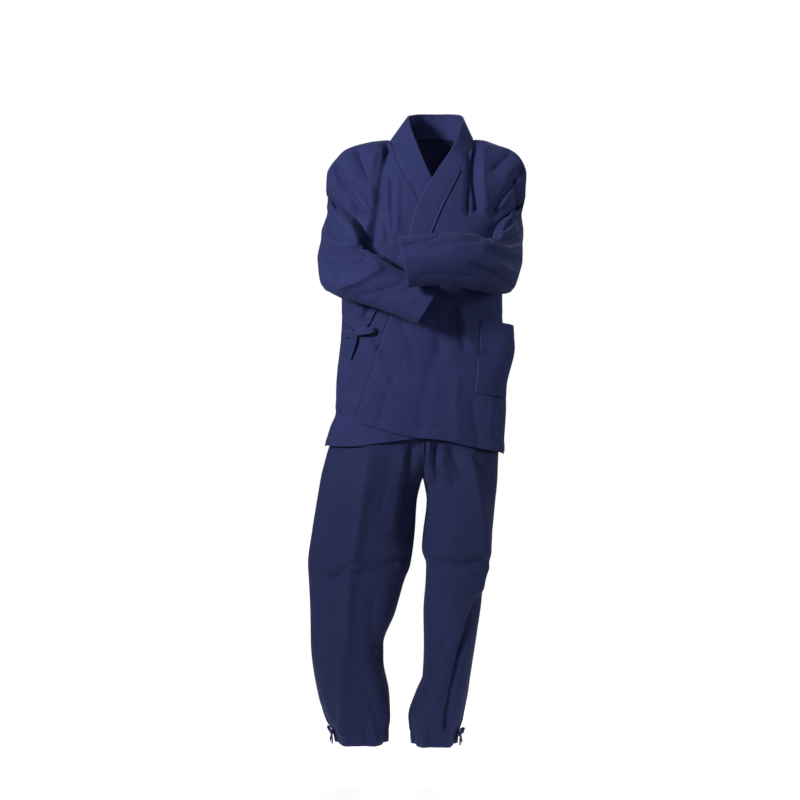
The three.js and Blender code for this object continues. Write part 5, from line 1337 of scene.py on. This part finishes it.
def legGrid(side, sign, face):
    curves = legCurves(side)
    low, high = legRings[side]["z"][0], legRings[side]["z"][-1]
    folds = trouserFolds if face == "front" else trouserBackFolds
    creases = trouserCreases if face == "front" else trouserBackCreases
    pressed = trouserPressed if face == "front" else trouserBackPressed
    apart = (-1 if face == "front" else 1) * jacket["seamGap"] / 2
    shift = leg["frontShift"] if face == "front" else 0.0
    grid = []
    for i in range(leg["rows"] + 1):
        z = lerp(low, high, i / leg["rows"])
        row = []
        for j in range(leg["columns"] + 1):
            share = j / leg["columns"]
            point = legPoint(curves, share, z, face)
            normal = legNormal(curves, share, z, face, low, high, sign)
            if share == 1 and z > leg["crotch"]:
                normal = Vector((0, normal.y, normal.z)).normalized()
            elif share in (0, 1):
                normal = Vector((normal.x, 0, normal.z)).normalized()
            towardsSeam = smooth(0, 0.12, share) * smooth(1, 0.86, share)
            fine, casing = casingRelief(z - low, share, z, shift)
            gather = leg["depth"] * smooth(leg["gatherTop"], low + 15, z)
            gather *= math.cos(share * 2 * math.pi * leg["waves"])
            depth = clothDepth(folds, creases, crease["trousers"], point.x, z)
            depth += foldDepth(pressed, point.x, z, pressedSharpness)
            offset = (gather + fine - depth + crumple(point, leg["uneven"])) * towardsSeam + casing
            placed = point + normal * offset
            placed.y += apart
            placed.x += sign * smooth(0.6, 1, share) * jacket["seamGap"] / 2
            row.append((placed, normal))
        grid.append(row)
    return renewed(grid)


for side, sign in (("right", -1), ("left", 1)):
    for face in ("front", "back"):
        grid = legGrid(side, sign, face)
        grid = seamRelief(grid, seams=("from", "to"), holdFrom="y",
                          holdTo=lambda p: "x" if p.z > leg["crotch"] else "y")
        name = "leg_" + side + "_" + face
        piece = clothMesh("trouser_" + name, grid, leg["wall"], trouserCottonPaintedShade,
                          wear=wearNear(grid, ("low", "from")))
        finishCloth(piece, name, "trouser_cloth", *cuts["leg_" + side], "gathered")
        stitchLines["trousers"] += [lineBeside(grid, "low", far) for far in (leg["casing"], stitchAt["edge"])]
        if face == "front":
            stitchLines["trousers"] += [lineBeside(grid, "from", stitchAt["seam"], 4),
                                        lineBeside(grid, "to", stitchAt["seam"], 150)]
    print("leg", side, "ready")

# ankle drawstring bows: forward, up and away from the leg, mm
drawstring = {
    "width": 8.6, "wall": 2.0, "knot": (6.2, 5.8, 4.6),
    "at": {"right": (0.1, 112, 8.7), "left": (0.1, 107, 5)},
    "ribbons": [((0, 1, 0.3), [(0, 0, 0), (9, 4, 0.5), (16, 6, 1.5), (20, 7, 4.5), (16, 7, 8), (9, 5, 7),
                               (0, 1, 2)]),
                ((0, 1, 0.3), [(0, 0, 0), (-8, 4, 0.5), (-13, 6, 1.5), (-17, 7, 4.5), (-13, 7, 8), (-7, 5, 7),
                               (0, 1, 2)]),
                ((1, 0.3, 0), [(0, 0, 1), (4, -8, 2), (8, -17, 2), (10, -25, 3)]),
                ((1, -0.2, 0), [(0, 0, 1), (-3, -8, 2), (-5, -15, 3), (-9, -21, 3)])],
}
for side, sign in (("right", -1), ("left", 1)):
    curves = legCurves(side)
    share, z, off = drawstring["at"][side]
    normal = legNormal(curves, share, z, "front", 0, z * 2, sign)
    normal = Vector((normal.x, normal.y, 0)).normalized()
    centre = legPoint(curves, share, z, "front") + normal * off
    up = Vector((0, 0, 1))
    forward = up.cross(normal).normalized()
    if forward.y > 0:
        forward.negate()
    pieces = [knotPiece("ankleKnot", centre, normal, *drawstring["knot"], cordCotton)]
    # both ends of the string come out of the casing side by side
    fromCasing = ((0, 1, 0), [(0, 0, 0.8 - off), (0, 0, -off / 2), (0, 0, 0.5)])
    for number, (way, rows) in enumerate(drawstring["ribbons"] + [fromCasing]):
        line = [centre + forward * a + up * b + normal * c for a, b, c in rows]
        across = (forward * way[0] + up * way[1] + normal * way[2]).normalized()
        ribbon = ribbonGrid(line, [across] * len(line), drawstring["width"], 30, 0.5)
        pieces.append(clothMesh("ankleRibbon_%d" % number, ribbon, drawstring["wall"], cordCotton))
    bpy.context.view_layer.update()
    finishPiece(joinPieces("ankleBow_" + side, pieces), "ankle_bow_" + side)
print("ankle bows ready")

addStitches("stitches_jacket", stitchLines["jacket"])
addStitches("stitches_trousers", stitchLines["trousers"])


# Floor and light
studio = {"floorRadius": 0.75, "floorGlow": 0.52, "roomLight": 0.11}


def paintedBoard():   # matt white painted board: flat, faint roller stipple
    material, tree, shader = newMaterial("mattPaintedBoard")
    spot = addNode(tree, "ShaderNodeTexCoord").outputs["Object"]
    stipple = addNode(tree, "ShaderNodeTexNoise", {"Scale": 60.0, "Detail": 3.0}, {"Vector": spot})
    bump = addNode(tree, "ShaderNodeBump", {"Strength": 0.05, "Distance": 0.002},
                   {"Height": stipple.outputs[0]})
    shader.inputs["Base Color"].default_value = linear("#f4f4f2")
    shader.inputs["Roughness"].default_value = 0.7
    shader.inputs["Emission Color"].default_value = linear("#ffffff")
    shader.inputs["Emission Strength"].default_value = studio["floorGlow"]   # so that no edge shows on white
    tree.links.new(bump.outputs[0], shader.inputs["Normal"])
    return material


bm = bmesh.new()
bmesh.ops.create_circle(bm, cap_ends=True, segments=96, radius=studio["floorRadius"])
bmesh.ops.translate(bm, verts=bm.verts, vec=(0, 0, -restPoint.z / 1000))
floor = pieceFrom("floor", bm, paintedBoard())

lights = {   # place, aimed at, size, watts, spread
    "left": ((-2.9, -2.9, 1.0), (0, 0, -0.15), 0.8, 19, 50),
    "right": ((3.3, -0.5, 0.5), (0, 0, -0.2), 1.1, 40, 180),
    "front": ((0.5, -4.9, 0.5), (0, 0, 0), 1.2, 6.5, 90),
    "top": ((-0.3, -0.9, 2.6), (0, 0, -0.6), 1.6, 8, 180),
    "back": ((0.6, 3.4, 1.4), (0, 0, -0.6), 2.0, 90, 180),
}
for name, (at, aim, size, watts, spread) in lights.items():
    data = bpy.data.lights.new(name + "Light", "AREA")
    data.size = size
    data.energy = watts
    data.spread = math.radians(spread)
    light = bpy.data.objects.new(name + "Light", data)
    light.location = at
    light.rotation_euler = (Vector(aim) - Vector(at)).to_track_quat("-Z", "Y").to_euler()
    bpy.context.scene.collection.objects.link(light)
world = bpy.data.worlds.new("paleStudio")
world.use_nodes = True
sky = world.node_tree
background = sky.nodes["Background"]
background.inputs["Color"].default_value = linear("#ffffff")
seen = addNode(sky, "ShaderNodeLightPath")   # a white room behind, without its flat light on the folds
strength = addNode(sky, "ShaderNodeMapRange", {"To Min": studio["roomLight"], "To Max": 1.0},
                   {"Value": seen.outputs["Is Camera Ray"]})
sky.links.new(strength.outputs[0], background.inputs["Strength"])
bpy.context.scene.world = world
bpy.context.scene.view_settings.view_transform = "Standard"
print("lights ready")
